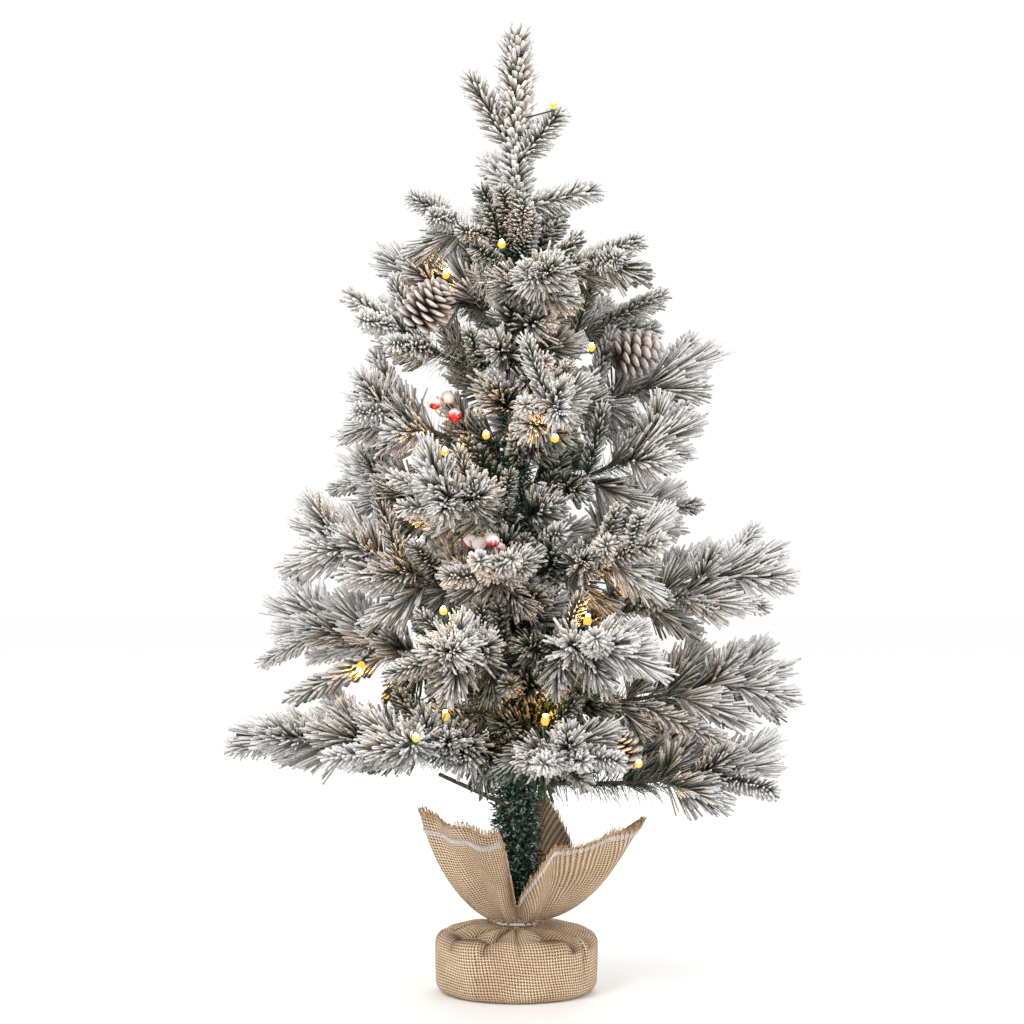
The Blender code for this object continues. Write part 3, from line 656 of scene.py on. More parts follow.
def growLeader():
    foliage = Foliage()
    up = Vector((0, 0, 1))
    for height, reach, width in leader["stack"]:
        foliage.addSprig("s", Vector((0, 0, height)), up, reach, width, leader["shade"])
    foliage.addWire(Vector((0, 0, 0.7005)), Vector((0, 0, 0.880)), 0.0035, 0.0012)
    for height, reach in leaderTwigs:
        root = Vector((0, 0, height))
        reach = Vector(reach)
        foliage.addSprig(
            "s", root + reach * 0.15, reach.normalized(), reach.length * 0.90,
            leader["twigWidth"], leader["shade"],
        )
        foliage.addWire(root, root + reach * 0.9, *wire["twig"])
    needles = toPiece(foliage.needles, "needles_leader", needleMaterial, Matrix(), "trunk_and_base")
    foliage.paintFlock(needles.data, -0.03, 0.04)
    toPiece(foliage.wires, "wires_leader", stemMaterial, Matrix(), "trunk_and_base")
    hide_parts("leader")


tinselRule = {"blades": 6200, "core": 0.0085, "width": 0.00115, "thickness": 0.00012}


def wrapTinsel():
    """Short shiny strips, wound closely round the pole and pointing all ways."""
    shape = bmesh.new()
    strip = unitNeedle(4, 0.72, 0.5, 0)
    low, high = tree["wrapBottom"] + 0.002, tree["poleTop"]
    for number in range(tinselRule["blades"]):
        height = low + (high - low) * ((number + 0.5) / tinselRule["blades"]) ** 1.15
        turn = goldenTurn * number
        reach = wrapRadiusAt(height)
        core = min(tinselRule["core"], reach - 0.004)
        start = Vector((core * math.cos(turn), core * math.sin(turn), height))
        aside = turn + random.uniform(-1.25, 1.25)
        out = Vector((math.cos(aside), math.sin(aside), random.uniform(-1.3, 1.3))).normalized()
        copy = strip.copy()
        copy.transform(needleMatrix(
            start, out, random.uniform(0, 6.28), tinselRule["width"], tinselRule["thickness"],
            (reach - core) * random.uniform(1.2, 1.9) * (1.0 + 0.75 * min(1.0, (height - low) / 0.05)),
        ))
        shape.from_mesh(copy)
        bpy.data.meshes.remove(copy)
    bmesh.ops.create_cone(
        shape, cap_ends=True, segments=20, radius1=tinselRule["core"] + 0.002, radius2=0.0062,
        depth=high - low - 0.01, matrix=Matrix.Translation((0, 0, (low + high) / 2)),
    )
    tinsel = toPiece(shape, "tinsel_wrap", tinselMaterial, Matrix(), "trunk_and_base")
    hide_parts("trunk_wrap")


print("stage: branches")
needleMaterial = makeNeedleMaterial()
stemMaterial = makeStemMaterial()
tinselMaterial = makeTinselMaterial()
for layout in branchLayout:
    growBranch(layout)
growLeader()
wrapTinsel()


# trunk sprigs: short twigs between the branch rows, fixed to the pole

trunkSprigs = {
    "count": 58, "front": 20, "collar": 14,
    "low": 0.208, "high": 0.765, "collarLow": 0.650, "collarHigh": 0.725,
    "reach": (0.084, 0.044), "rise": (5, 45), "topRise": (46, 70), "shade": -0.08,
}
# heights where the flock hardly reached and the needles are darkened as painted shade, how far that goes,
# and by how much
bareAndShadedZones = [(0.470, 0.035, 0.30), (0.235, 0.050, 0.26)]
bareTwigs = [
    ((-0.006, -0.012, 0.172), (-0.070, -0.044, 0.205)),
    ((0.006, -0.014, 0.190), (-0.012, -0.056, 0.262)),
]


def trunkPlace(number):
    """Share of the height and bearing of one sprig: the spiral first, then the front, then the collar."""
    rule = trunkSprigs
    turn = goldenTurn * number + 0.4
    if number < rule["count"]:
        return (number + 0.5) / rule["count"], turn
    number -= rule["count"]
    if number < rule["front"]:
        bearing = 270.0 + random.uniform(16.0, 34.0) * (-1) ** number
        return (number + 0.5) / rule["front"], math.radians(bearing)
    number -= rule["front"]
    height = rule["collarLow"] + (rule["collarHigh"] - rule["collarLow"]) * (number + 0.5) / rule["collar"]
    return (height - rule["low"]) / (rule["high"] - rule["low"]), turn


def growTrunkSprigs():
    foliage = Foliage()
    rule = trunkSprigs
    for number in range(rule["count"] + rule["front"] + rule["collar"]):
        share, turn = trunkPlace(number)
        height = rule["low"] + (rule["high"] - rule["low"]) * share
        rise = math.radians(random.uniform(*rule["topRise" if height > 0.66 else "rise"]))
        low, high = rule["reach"]
        reach = (low + (high - low) * share) * random.uniform(0.85, 1.1)
        out = Vector((math.cos(rise) * math.cos(turn), math.cos(rise) * math.sin(turn), math.sin(rise)))
        foot = Vector((0.006 * math.cos(turn), 0.006 * math.sin(turn), height))
        kind = "s" if number % 3 == 1 or height > 0.66 else "l"
        if number % 7 == 3 and height < 0.66:
            kind = "i"
        if covers(foot, foot + out * reach) or not inOutline(foot + out * reach):
            continue
        # partly painted shade: the trunk sprigs are darkened round these heights
        bare = sum(depth * bell((height - zone) / spread) for zone, spread, depth in bareAndShadedZones)
        shade = rule["shade"] - bare
        foliage.addSprig(kind, foot + out * 0.012, out, reach, 1.0, shade)
        foliage.addWire(foot, foot + out * reach * 0.8, *wire["twig"])
    for foot, tip in bareTwigs:
        foliage.addWire(Vector(foot), Vector(tip), 0.0023, 0.0018)
    needles = toPiece(foliage.needles, "needles_trunk", needleMaterial, Matrix(), "trunk_and_base")
    foliage.paintFlock(needles.data, 0.02, 0.10)
    toPiece(foliage.wires, "wires_trunk", stemMaterial, Matrix(), "trunk_and_base")


def bell(value):
    return math.exp(-value * value)


# burlap bag, gathered round the pole over the weighted base

bag = {
    "columns": 216,
    "radius": 0.0752,
    "footRadius": 0.0744,
    "corner": 0.0110,
    "top": 0.0565,
    "neckRadius": 0.0176,
    "neckHeight": 0.0640,
    "flareSpread": 0.72,
    "flareRise": 1.22,
    "pleatDepth": 0.0022,
    "thickness": 0.0011,
    "warpPitch": 0.0029,
    "weftPitch": 0.0024,
    "sway": 16.0,
    "lean": 0.18,
    "width": 0.474,
}

# azimuth, reach and height of the bag's edge
bagEdge = [
    (0, 0.118, 0.156), (28, 0.066, 0.120), (60, 0.055, 0.170), (85, 0.046, 0.172),
    (120, 0.044, 0.125), (150, 0.055, 0.140), (180, 0.087, 0.165), (215, 0.072, 0.157),
    (248, 0.050, 0.150), (272, 0.025, 0.082), (310, 0.060, 0.136), (338, 0.098, 0.149),
]

# azimuth at the neck, how far it turns on its way to the rim, width and depth of each crease
bagCreases = [
    (226, -10, 9, 0.0070), (252, -6, 8, 0.0085), (284, 30, 12, 0.0115), (268, 3, 5, 0.0050),
    (320, 14, 10, 0.0085), (345, 6, 6, 0.0048), (20, -8, 7, 0.0056), (48, 6, 7, 0.0060),
    (74, -4, 6, 0.0050), (102, 9, 7, 0.0062), (128, -6, 6, 0.0054), (152, 5, 7, 0.0060), (178, 4, 6, 0.0050),
]

# a fold that lies along the rim at the left, and another at the right
rimFolds = [(226, 30, 0.0066), (300, 15, 0.0078)]
rimFoldAt = {"share": 0.20, "width": 0.13}

# where the wall's seam runs, and where it is slit
wallSeam = {"azimuth": 242, "width": 1.5, "depth": 0.0014}
wallSlit = {"azimuth": 327, "width": 2.2, "depth": 0.0042, "low": 0.010, "high": 0.054}


def turnBetween(azimuth, other):
    return (azimuth - other + 180.0) % 360.0 - 180.0


def bagEdgeAt(azimuth):
    """Reach and height of the bag's edge, smoothly between the listed places."""
    for place in range(len(bagEdge)):
        start, end = bagEdge[place], bagEdge[(place + 1) % len(bagEdge)]
        span = (end[0] - start[0]) % 360
        inside = (azimuth - start[0]) % 360
        if inside < span:
            blend = 0.5 - 0.5 * math.cos(math.pi * inside / span)
            return tuple(a + (b - a) * blend for a, b in zip(start[1:], end[1:]))
    return bagEdge[0][1:]


def pleats(azimuth):
    turn = math.radians(azimuth)
    return 0.6 * math.cos(17 * turn + 1.3) + 0.4 * math.cos(23 * turn + 0.4)


def flarePoint(azimuth, share):
    """On the flared mouth: share 0 is the neck and 1 the edge."""
    reach, height = bagEdgeAt(azimuth)
    turn = math.radians(azimuth)
    low = bag["neckHeight"] + 0.002
    radius = bag["neckRadius"] + (reach - bag["neckRadius"]) * share ** bag["flareSpread"]
    rise = low + (height - low) * share ** bag["flareRise"]
    fold = bag["pleatDepth"] * pleats(azimuth) * (1.0 - share) ** 1.1
    fold += 0.0054 * math.sin(math.pi * share) ** 0.8 * math.cos(7 * turn + 0.8 + 1.5 * share)
    fold += 0.0022 * share * math.cos(13 * turn + 2.2)
    slope = 0.55 if share > 0.0 else 0.0
    return Vector((
        (radius + fold) * math.cos(turn), (radius + fold) * math.sin(turn), rise - slope * fold,
    ))


def creaseDepth(azimuth, sweepShare, widen):
    """How deep the crease is here, steep on one flank and slow on the other."""
    valley = 0.0
    for place, sweep, width, depth in bagCreases:
        away = turnBetween(azimuth, place + sweep * sweepShare) / (width * widen)
        steep = 1.0 if away > 0 else 2.8
        valley = max(valley, depth * math.exp(-abs(away) * steep))
    return valley


def rimFoldDepth(azimuth, share):
    along = bell((share - rimFoldAt["share"]) / rimFoldAt["width"])
    folds = [depth * bell(turnBetween(azimuth, place) / spread) for place, spread, depth in rimFolds]
    return along * max(folds)


def topPoint(azimuth, share):
    """On the gathered top: share 0 is the rim of the wall and 1 the neck."""
    turn = math.radians(azimuth)
    rim = bag["radius"] - bag["corner"]
    radius = rim + (bag["neckRadius"] - rim) * share
    height = bag["top"] + (bag["neckHeight"] - 0.002 - bag["top"]) * share ** 2.2
    height += 0.0016 * math.sin(math.pi * share)
    valley = creaseDepth(azimuth, 1.0 - share, 0.7 + 0.8 * share)
    height += 0.0034 * math.sin(math.pi * share) - rimFoldDepth(azimuth, share)
    height -= valley * min(1.0, 0.80 + 2.0 * share) * min(1.0, 3.0 * (1.0 - share) + 0.3)
    radius += bag["pleatDepth"] * pleats(azimuth) * share ** 3
    return Vector((radius * math.cos(turn), radius * math.sin(turn), height))


def wallPoint(azimuth, share):
    """On the side: from the foot, round its corner, up the wall and round the rim."""
    turn = math.radians(azimuth)
    corner = bag["corner"]
    foot, rim = bag["footRadius"], bag["radius"]
    if share < 0.25:
        bend = math.pi / 2 * share / 0.25
        radius = foot - corner + corner * math.sin(bend)
        height = corner - corner * math.cos(bend)
    elif share < 0.75:
        climb = (share - 0.25) / 0.5
        radius = foot + (rim - foot) * climb ** 0.7
        height = corner + (bag["top"] - 2 * corner) * climb
    else:
        bend = math.pi / 2 * (share - 0.75) / 0.25
        radius = rim - corner + corner * math.cos(bend)
        height = bag["top"] - corner + corner * math.sin(bend)
    radius += 0.0006 * math.sin(math.pi * share) * math.cos(9 * turn + 0.7)
    radius -= wallSeam["depth"] * bell(turnBetween(azimuth, wallSeam["azimuth"]) / wallSeam["width"])
    if wallSlit["low"] < height < wallSlit["high"]:
        climb = (height - wallSlit["low"]) / (wallSlit["high"] - wallSlit["low"])
        nearSlit = bell(turnBetween(azimuth, wallSlit["azimuth"]) / wallSlit["width"])
        radius -= wallSlit["depth"] * climb * nearSlit
    if share > 0.6:
        valley = creaseDepth(azimuth, 1.0, 0.7)
        fade = ((share - 0.6) / 0.4) ** 2
        radius -= 0.20 * valley * min(1.0, 2 * fade)
        height -= 0.80 * valley * fade
    return Vector((radius * math.cos(turn), radius * math.sin(turn), height))


def floorPoint(azimuth, share):
    turn = math.radians(azimuth)
    radius = 0.004 + (bag["footRadius"] - bag["corner"] - 0.004) * share
    return Vector((radius * math.cos(turn), radius * math.sin(turn), 0.0))


# the cloth's parts from its middle to its edge: shape, rows and length
bagParts = [
    (floorPoint, 5, 0.060), (wallPoint, 20, 0.062), (topPoint, 16, 0.047), (flarePoint, 24, 0.110),
]


def bagPoint(azimuth, row):
    """A place on the cloth and how far it is from the cloth's middle."""
    done = 0.0
    for shape, rows, length in bagParts:
        if row <= rows:
            share = row / rows
            return shape(azimuth, share), done + length * share
        row -= rows
        done += length
    return shape(azimuth, 1.0), done


def sewBag():
    columns = bag["columns"]
    rows = sum(part[1] for part in bagParts)
    shape = bmesh.new()
    bmesh.ops.create_grid(shape, x_segments=columns, y_segments=rows, size=0.5, calc_uvs=True)
    layer = shape.loops.layers.uv.active or shape.loops.layers.uv.new("weave")
    places = {}
    for corner in shape.verts:
        across, up = corner.co.x + 0.5, round((corner.co.y + 0.5) * rows)
        place, along = bagPoint(360.0 * across, up)
        places[corner.index] = (across * bag["width"], along)
        corner.co = place
    for face in shape.faces:
        face.smooth = True
        for loop in face.loops:
            loop[layer].uv = places[loop.vert.index]
    bmesh.ops.remove_doubles(shape, verts=shape.verts, dist=0.000001)
    hub = [corner for corner in shape.verts if corner.co.xy.length < 0.0045]
    bmesh.ops.contextual_create(shape, geom=hub)
    bmesh.ops.recalc_face_normals(shape, faces=shape.faces)
    cloth = toPiece(shape, "burlap_cloth", makeBurlap(), Matrix(), "trunk_and_base")
    paintCreaseShade(cloth.data)
    cloth.data.uv_layers[0].name = "weave"
    thickness = cloth.modifiers.new("thickness", "SOLIDIFY")
    thickness.thickness = bag["thickness"]
    thickness.offset = 1.0
    return cloth


def paintCreaseShade(mesh):
    """Painted shade: the creases of the top, the fold along the rim, the slit and the seam's groove are
    darkened where shade falls in them.
    """
    paintedShade = []
    for corner in mesh.vertices:
        place = corner.co
        radius = place.xy.length
        azimuth = math.degrees(math.atan2(place.y, place.x))
        level = 0.0
        if 0.044 < place.z < 0.066 and 0.019 < radius < bag["radius"] + 0.001:
            share = min(1.0, (bag["radius"] - radius) / (bag["radius"] - bag["neckRadius"]))
            level = 0.80 * creaseDepth(azimuth, 1.0 - share, 0.7 + 0.5 * share) / 0.0080
            level = max(level, rimFoldDepth(azimuth, share) / 0.0052)
        elif place.z < 0.056 and radius > 0.060:
            level = 0.30 * bell(turnBetween(azimuth, wallSeam["azimuth"] - 1.0) / 1.0)
            if wallSlit["low"] < place.z < wallSlit["high"]:
                climb = (place.z - wallSlit["low"]) / (wallSlit["high"] - wallSlit["low"])
                level = max(level, 0.95 * climb * bell(turnBetween(azimuth, wallSlit["azimuth"]) / 1.8))
        paintedShade.append(0.92 * min(1.0, level) ** 1.1)
    mesh.attributes.new("crease", "FLOAT", "POINT")
    mesh.attributes["crease"].data.foreach_set("value", np.array(paintedShade, np.float32))


def makeBurlap():
    material, nodes, shader = newMaterial("burlap", 0.95)
    reader = nodes.nodes.new("ShaderNodeUVMap")
    reader.uv_map = "weave"
    split = nodes.nodes.new("ShaderNodeSeparateXYZ")
    nodes.links.new(reader.outputs["UV"], split.inputs[0])
    wander = mathNode(nodes, "MULTIPLY_ADD", noisePattern(nodes, 90.0, 2.0), 0.9, -0.45)
    shift = mathNode(nodes, "MULTIPLY_ADD", noisePattern(nodes, 13.0, 1.0), bag["sway"], wander)
    leaned = mathNode(nodes, "MULTIPLY_ADD", split.outputs["Y"], bag["lean"], split.outputs["X"])
    waves = []
    for along, pitch in ((leaned, bag["warpPitch"]), (split.outputs["Y"], bag["weftPitch"])):
        yarns = mathNode(nodes, "MULTIPLY_ADD", along, math.pi / pitch, shift)
        waves.append(mathNode(nodes, "SINE", yarns, 0.0))
    crossing = mathNode(nodes, "MULTIPLY", waves[0], waves[1])
    warp = mathNode(nodes, "MULTIPLY", mathNode(nodes, "ABSOLUTE", waves[0], 0.0),
                    mathNode(nodes, "MULTIPLY_ADD", crossing, 0.35, 0.65))
    weft = mathNode(nodes, "MULTIPLY", mathNode(nodes, "ABSOLUTE", waves[1], 0.0),
                    mathNode(nodes, "MULTIPLY_ADD", crossing, -0.35, 0.65))
    yarn = mathNode(nodes, "MAXIMUM", warp, weft)
    fibre = noisePattern(nodes, 700.0, 3.0, 0.6)
    patch = noisePattern(nodes, 26.0, 3.0)
    yarnColour = colourRamp(nodes, fibre, [
        (0.25, (0.52, 0.35, 0.215)), (0.50, (0.80, 0.59, 0.40)), (0.75, (1.0, 0.84, 0.65)),
    ])
    patchColour = colourRamp(nodes, patch, [(0.35, (0.80, 0.76, 0.72)), (0.65, (1.0, 1.0, 1.0))])
    toned = mixColour(nodes, 1.0, yarnColour, patchColour, "MULTIPLY")
    gap = nodes.nodes.new("ShaderNodeMapRange")
    gap.inputs["From Min"].default_value = 0.44
    gap.inputs["From Max"].default_value = 0.62
    nodes.links.new(yarn, gap.inputs["Value"])
    colour = mixColour(nodes, gap.outputs["Result"], (0.055, 0.030, 0.014), toned)
    # painted shade: the burlap is darkened in its creases, rim fold, slit and seam by the crease attribute
    colour = mixColour(nodes, readAttribute(nodes, "crease"), colour, (0.075, 0.040, 0.018))
    nodes.links.new(colour, shader.inputs["Base Color"])
    addBump(nodes, shader, mathNode(nodes, "MULTIPLY_ADD", fibre, 0.25, yarn), 0.30, 0.0006)
    return material


def addThread(shape, start, end, radius, sides=3):
    along = end - start
    if along.length < 0.00005:
        return
    place = Matrix.Translation((start + end) / 2) @ along.to_track_quat("Z", "Y").to_matrix().to_4x4()
    bmesh.ops.create_cone(
        shape, cap_ends=True, segments=sides, radius1=radius, radius2=radius, depth=along.length,
        matrix=place,
    )


def alongFlare(azimuth, fromEdge, lift=0.0):
    """On the flare's outer face, fromEdge metres of cloth below its edge."""
    edge, inner = flarePoint(azimuth, 1.0), flarePoint(azimuth, 0.9)
    run = max((edge - inner).length / 0.1, 0.02)
    share = max(0.0, 1.0 - fromEdge / run)
    place = flarePoint(azimuth, share)
    beside = flarePoint(azimuth + 1.0, share) - flarePoint(azimuth - 1.0, share)
    down = flarePoint(azimuth, max(0.0, share - 0.03)) - flarePoint(azimuth, min(1.0, share + 0.03))
    return place + beside.cross(down).normalized() * -lift


fringe = {"threads": 820, "length": (0.0022, 0.0066), "radius": 0.00042}
overlock = {"zigs": 330, "rows": ((0.0015, 0.0075), (0.0030, 0.0062)), "hem": 0.0110, "radius": 0.00019}


def makeFringe():
    shape = bmesh.new()
    for thread in range(fringe["threads"]):
        azimuth = 360.0 * thread / fringe["threads"] + random.uniform(-0.2, 0.2)
        edge = flarePoint(azimuth, 1.0)
        onward = (edge - flarePoint(azimuth, 0.93)).normalized()
        aside = Vector((random.uniform(-1, 1), random.uniform(-1, 1), random.uniform(-1, 1))) * 0.28
        tip = edge + (onward + aside).normalized() * random.uniform(*fringe["length"])
        addThread(shape, edge - onward * 0.001, tip, fringe["radius"] * random.uniform(0.7, 1.2))
    return toPiece(shape, "bag_fringe", makeYarn("jute_yarn", (0.42, 0.26, 0.13), (0.70, 0.50, 0.30)),
                   Matrix(), "trunk_and_base")


def makeOverlock():
    shape = bmesh.new()
    step = 360.0 / overlock["zigs"]
    for near, far in overlock["rows"]:
        for zig in range(overlock["zigs"]):
            azimuth = zig * step
            if 250 < azimuth < 274:
                continue
            # the hem is deeper on the left lobe
            hem = overlock["hem"] * min(1.0, max(0.0, 1.6 - abs(turnBetween(azimuth, 205)) / 38.0))
            low = alongFlare(azimuth, far + hem, 0.0012)
            high = alongFlare(azimuth + step * 0.7, near + hem, 0.0012)
            following = alongFlare(azimuth + step, far + hem, 0.0012)
            addThread(shape, low, high, overlock["radius"])
            addThread(shape, high, following, overlock["radius"])
    return toPiece(shape, "bag_overlock", makeYarn("white_thread", (0.70, 0.69, 0.66), (0.92, 0.92, 0.90)),
                   Matrix(), "trunk_and_base")


def makeYarn(name, dark, pale):
    return speckledFinish(name, 0.9, 500.0, [(0.35, dark), (0.65, pale)], (0.5, 0.0004), detail=3.0)


tie = {"radius": 0.0197, "strand": 0.00075, "twist": 0.00062, "twists": 22, "steps": 264}


def makeTie():
    """A cord of two strands, twisted, round the neck."""
    shape = bmesh.new()
    for strand in range(2):
        last = None
        for step in range(tie["steps"] + 1):
            turn = 2 * math.pi * step / tie["steps"]
            lay = tie["twists"] * turn + math.pi * strand
            radius = tie["radius"] + tie["twist"] * math.cos(lay) + 0.0006 * pleats(math.degrees(turn))
            spot = Vector((
                radius * math.cos(turn), radius * math.sin(turn),
                bag["neckHeight"] + tie["twist"] * math.sin(lay),
            ))
            if last is not None:
                addThread(shape, last, spot, tie["strand"], 6)
            last = spot
    cord = toPiece(shape, "neck_cord", makeYarn("white_tie", (0.74, 0.73, 0.70), (0.93, 0.93, 0.91)),
                   Matrix(), "trunk_and_base")
    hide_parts("bag_tie")


print("stage: bag")
growTrunkSprigs()
cloth = sewBag()
edgeThreads = makeFringe()
stitches = makeOverlock()
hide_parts("burlap_bag")
makeTie()


# pine cones, berries and lamps: those with a CAD node stand where it does

def lobeOf(layout):
    """Half width of the branch's CAD lobe, which the ornaments stand on."""
    short = ("front_right_1", "front_left_3", "front_right_3", "left_6", "right_7", "right_8", "left_8")
    return tree["shortLobe"] if layout[0] in short else tree["longLobe"]


def branchFrame(layout, share, side, across=0.0, lift=0.0):
    """In the branch's own frame: +Z leaves its fan and +X runs out along its stem."""
    name, azimuth, turn, rise, length, twist, kinds = layout
    direction = stemDirection(length * share, rise, length)
    fan = fanSide(direction, twist)
    normal = direction.cross(fan) * side
    origin = stemPoint(length * share, rise, length) + normal * (lobeOf(layout) + tree["gap"] + lift)
    origin += fan * across
    frame = Matrix((direction, normal.cross(direction), normal)).transposed().to_4x4()
    frame.translation = origin
    return rootMatrix(azimuth, turn) @ frame


cone = {
    "scales": 54, "widthShare": 0.43, "core": 0.38, "scaleWidth": 0.64, "thickness": 0.075,
}

# CAD node, branch, share, side, length, and whether it lies along the stem
coneLayout = [
    ("pine_cone_1", "left_6", 0.60, 1, 0.048, False),
    ("pine_cone_2", "right_6", 0.56, 1, 0.046, True),
    ("pine_cone_3", "right_4", 0.56, 1, 0.030, False),
    ("pine_cone_4", "right_1", 0.37, 1, 0.038, False),
]


def coneScale():
    """One woody scale: thin at its root, broad and thick at its lip, and dished."""
    shape = bmesh.new()
    bmesh.ops.create_uvsphere(shape, u_segments=8, v_segments=6, radius=0.5)
    for corner in shape.verts:
        along = corner.co.z + 0.5
        corner.co = Vector((
            corner.co.x * (0.45 + 0.75 * along), corner.co.y * (0.6 + 0.8 * along), along,
        ))
        corner.co.y = corner.co.y * cone["thickness"] * 3.0 - 0.30 * corner.co.x ** 2 + 0.10 * along ** 2
    for face in shape.faces:
        face.smooth = True
    bmesh.ops.recalc_face_normals(shape, faces=shape.faces)
    mesh = bpy.data.meshes.new("cone_scale")
    shape.to_mesh(mesh)
    shape.free()
    return mesh


def growCone(node, branch, share, side, length, lying):
    radius = length * cone["widthShare"]
    frame = branchFrame(layoutNamed[branch], share, side)
    if lying:
        lay = Matrix.Rotation(math.radians(90.0), 4, "Y")
        frame = frame @ Matrix.Translation((-length / 2, 0.0, radius)) @ lay
    shape = bmesh.new()
    template = coneScale()
    frost = []
    for number in range(cone["scales"]):
        climb = (number + 0.5) / cone["scales"]
        girth = math.sin(math.pi * (0.20 + 0.72 * climb)) ** 0.8
        turn = goldenTurn * number
        height = length * (0.06 + 0.80 * climb)
        tilt = math.radians(88 - 62 * climb ** 1.3)
        reach = radius * (0.30 + 0.78 * girth) * random.uniform(0.92, 1.06)
        foot = Vector((radius * cone["core"] * 0.35 * math.cos(turn),
                       radius * cone["core"] * 0.35 * math.sin(turn), height - 0.15 * reach))
        out = Vector((math.sin(tilt) * math.cos(turn), math.sin(tilt) * math.sin(turn), math.cos(tilt)))
        beside = Vector((-math.sin(turn), math.cos(turn), 0.0))
        upper = out.cross(beside)
        place = Matrix((beside, -upper, out)).transposed().to_4x4()
        place.translation = foot
        broad = radius * cone["scaleWidth"] * (0.75 + 0.5 * girth)
        copy = template.copy()
        copy.transform(place @ Matrix.Diagonal((broad, broad, reach, 1.0)))
        shape.from_mesh(copy)
        frost.extend(corner.co.z for corner in template.vertices)
        bpy.data.meshes.remove(copy)
    bmesh.ops.create_uvsphere(
        shape, u_segments=12, v_segments=10, radius=1.0,
        matrix=Matrix.Translation((0, 0, length * 0.46)) @ Matrix.Diagonal(
            (radius * cone["core"], radius * cone["core"], length * 0.45, 1.0)
        ),
    )
    frost.extend([0.0] * (len(shape.verts) - len(frost)))
    piece = toPiece(shape, node + "_scales", coneMaterial, frame, "fold_" + branch)
    piece.data.attributes.new("frost", "FLOAT", "POINT")
    piece.data.attributes["frost"].data.foreach_set("value", np.array(frost, np.float32))
    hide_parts(node)


def makeConeMaterial():
    material, nodes, shader = newMaterial("pine_cone", 0.85)
    grain = noisePattern(nodes, 420.0, 4.0, 0.6)
    along = mathNode(nodes, "MULTIPLY_ADD", readAttribute(nodes, "frost"), 0.95, -0.27)
    cover = mathNode(nodes, "MULTIPLY_ADD", grain, 0.55, along)
    colour = colourRamp(nodes, cover, [
        (0.15, (0.035, 0.018, 0.012)), (0.42, (0.14, 0.085, 0.065)), (0.64, (0.34, 0.275, 0.245)),
        (0.92, (0.74, 0.71, 0.70)),
    ])
    nodes.links.new(colour, shader.inputs["Base Color"])
    addBump(nodes, shader, grain, 0.6, 0.0005)
    return material


berry = {
    "radius": 0.0065, "stem": 0.0009,
    "places": [(0.0, -0.0075, 0.017), (0.011, 0.007, 0.015), (-0.011, 0.008, 0.012)],
}

# CAD node or none, branch, share, side, shift across the fan and away from it
berryLayout = [
    ("berries_1", "left_5", 0.44, 1, 0.0, 0.0),
    ("berries_2", "front_left_4", 0.40, -1, 0.0, 0.0),
    ("berries_3", "right_2", 0.43, 1, 0.0, 0.0),
    (None, "front_left_3", 0.62, 1, 0.0, 0.0),
]


def growBerries(number, layout):
    node, branch, share, side, across, lift = layout
    frame = branchFrame(layoutNamed[branch], share, side, across, lift)
    balls, stems = bmesh.new(), bmesh.new()
    for place in berry["places"]:
        head = Vector(place)
        turn = Matrix.Rotation(random.uniform(0, 6.28), 4, "Z")
        bmesh.ops.create_uvsphere(
            balls, u_segments=20, v_segments=14, radius=berry["radius"],
            matrix=Matrix.Translation(head) @ turn @ Matrix.Diagonal((1.0, 1.0, 0.94, 1.0)),
        )
        bmesh.ops.create_cone(
            balls, cap_ends=True, segments=8, radius1=0.0012, radius2=0.0004, depth=0.0016,
            matrix=Matrix.Translation(head + Vector((0, 0, berry["radius"]))),
        )
        middle = head * 0.5 + Vector((0.0, 0.0015, -0.001))
        addThread(stems, Vector((0, 0, 0.0005)), middle, berry["stem"], 6)
        addThread(stems, middle, head, berry["stem"] * 0.8, 6)
    for face in balls.faces:
        face.smooth = True
    name = node or f"berries_{number + 1}"
    piece = toPiece(balls, name + "_fruit", berryMaterial, frame, "fold_" + branch)
    toPiece(stems, name + "_stems", berryStemMaterial, frame, "fold_" + branch)
    count = len(piece.data.vertices)
    normals = np.empty(count * 3, np.float32)
    piece.data.vertices.foreach_get("normal", normals)
    frost = 0.38 + 0.40 * normals.reshape(-1, 3)[:, 2]
    ball = count // len(berry["places"])
    frost[:ball] += 0.45
    frost[ball:2 * ball] += 0.15
    piece.data.attributes.new("frost", "FLOAT", "POINT")
    piece.data.attributes["frost"].data.foreach_set("value", frost.astype(np.float32))
    if node:
        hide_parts(node)


def makeBerryMaterial():
    material, nodes, shader = newMaterial("frosted_berry", 0.35)
    patch = noisePattern(nodes, 330.0, 4.0, 0.6)
    level = mathNode(nodes, "ADD", readAttribute(nodes, "frost"), -0.35)
    cover = mathNode(nodes, "MULTIPLY_ADD", patch, 0.9, level)
    colour = colourRamp(nodes, cover, [
        (0.30, (0.30, 0.008, 0.014)), (0.45, (0.52, 0.020, 0.030)), (0.58, (0.72, 0.40, 0.41)),
        (0.70, (0.90, 0.86, 0.86)),
    ])
    nodes.links.new(colour, shader.inputs["Base Color"])
    addBump(nodes, shader, patch, 0.4, 0.0004)
    return material


lamp = {
    "radius": 0.0037, "length": 0.0094, "core": 0.0018, "holder": 0.0024, "holderLength": 0.0055,
    "lead": 0.0006, "glow": 1.4, "coreGlow": 700.0,
}

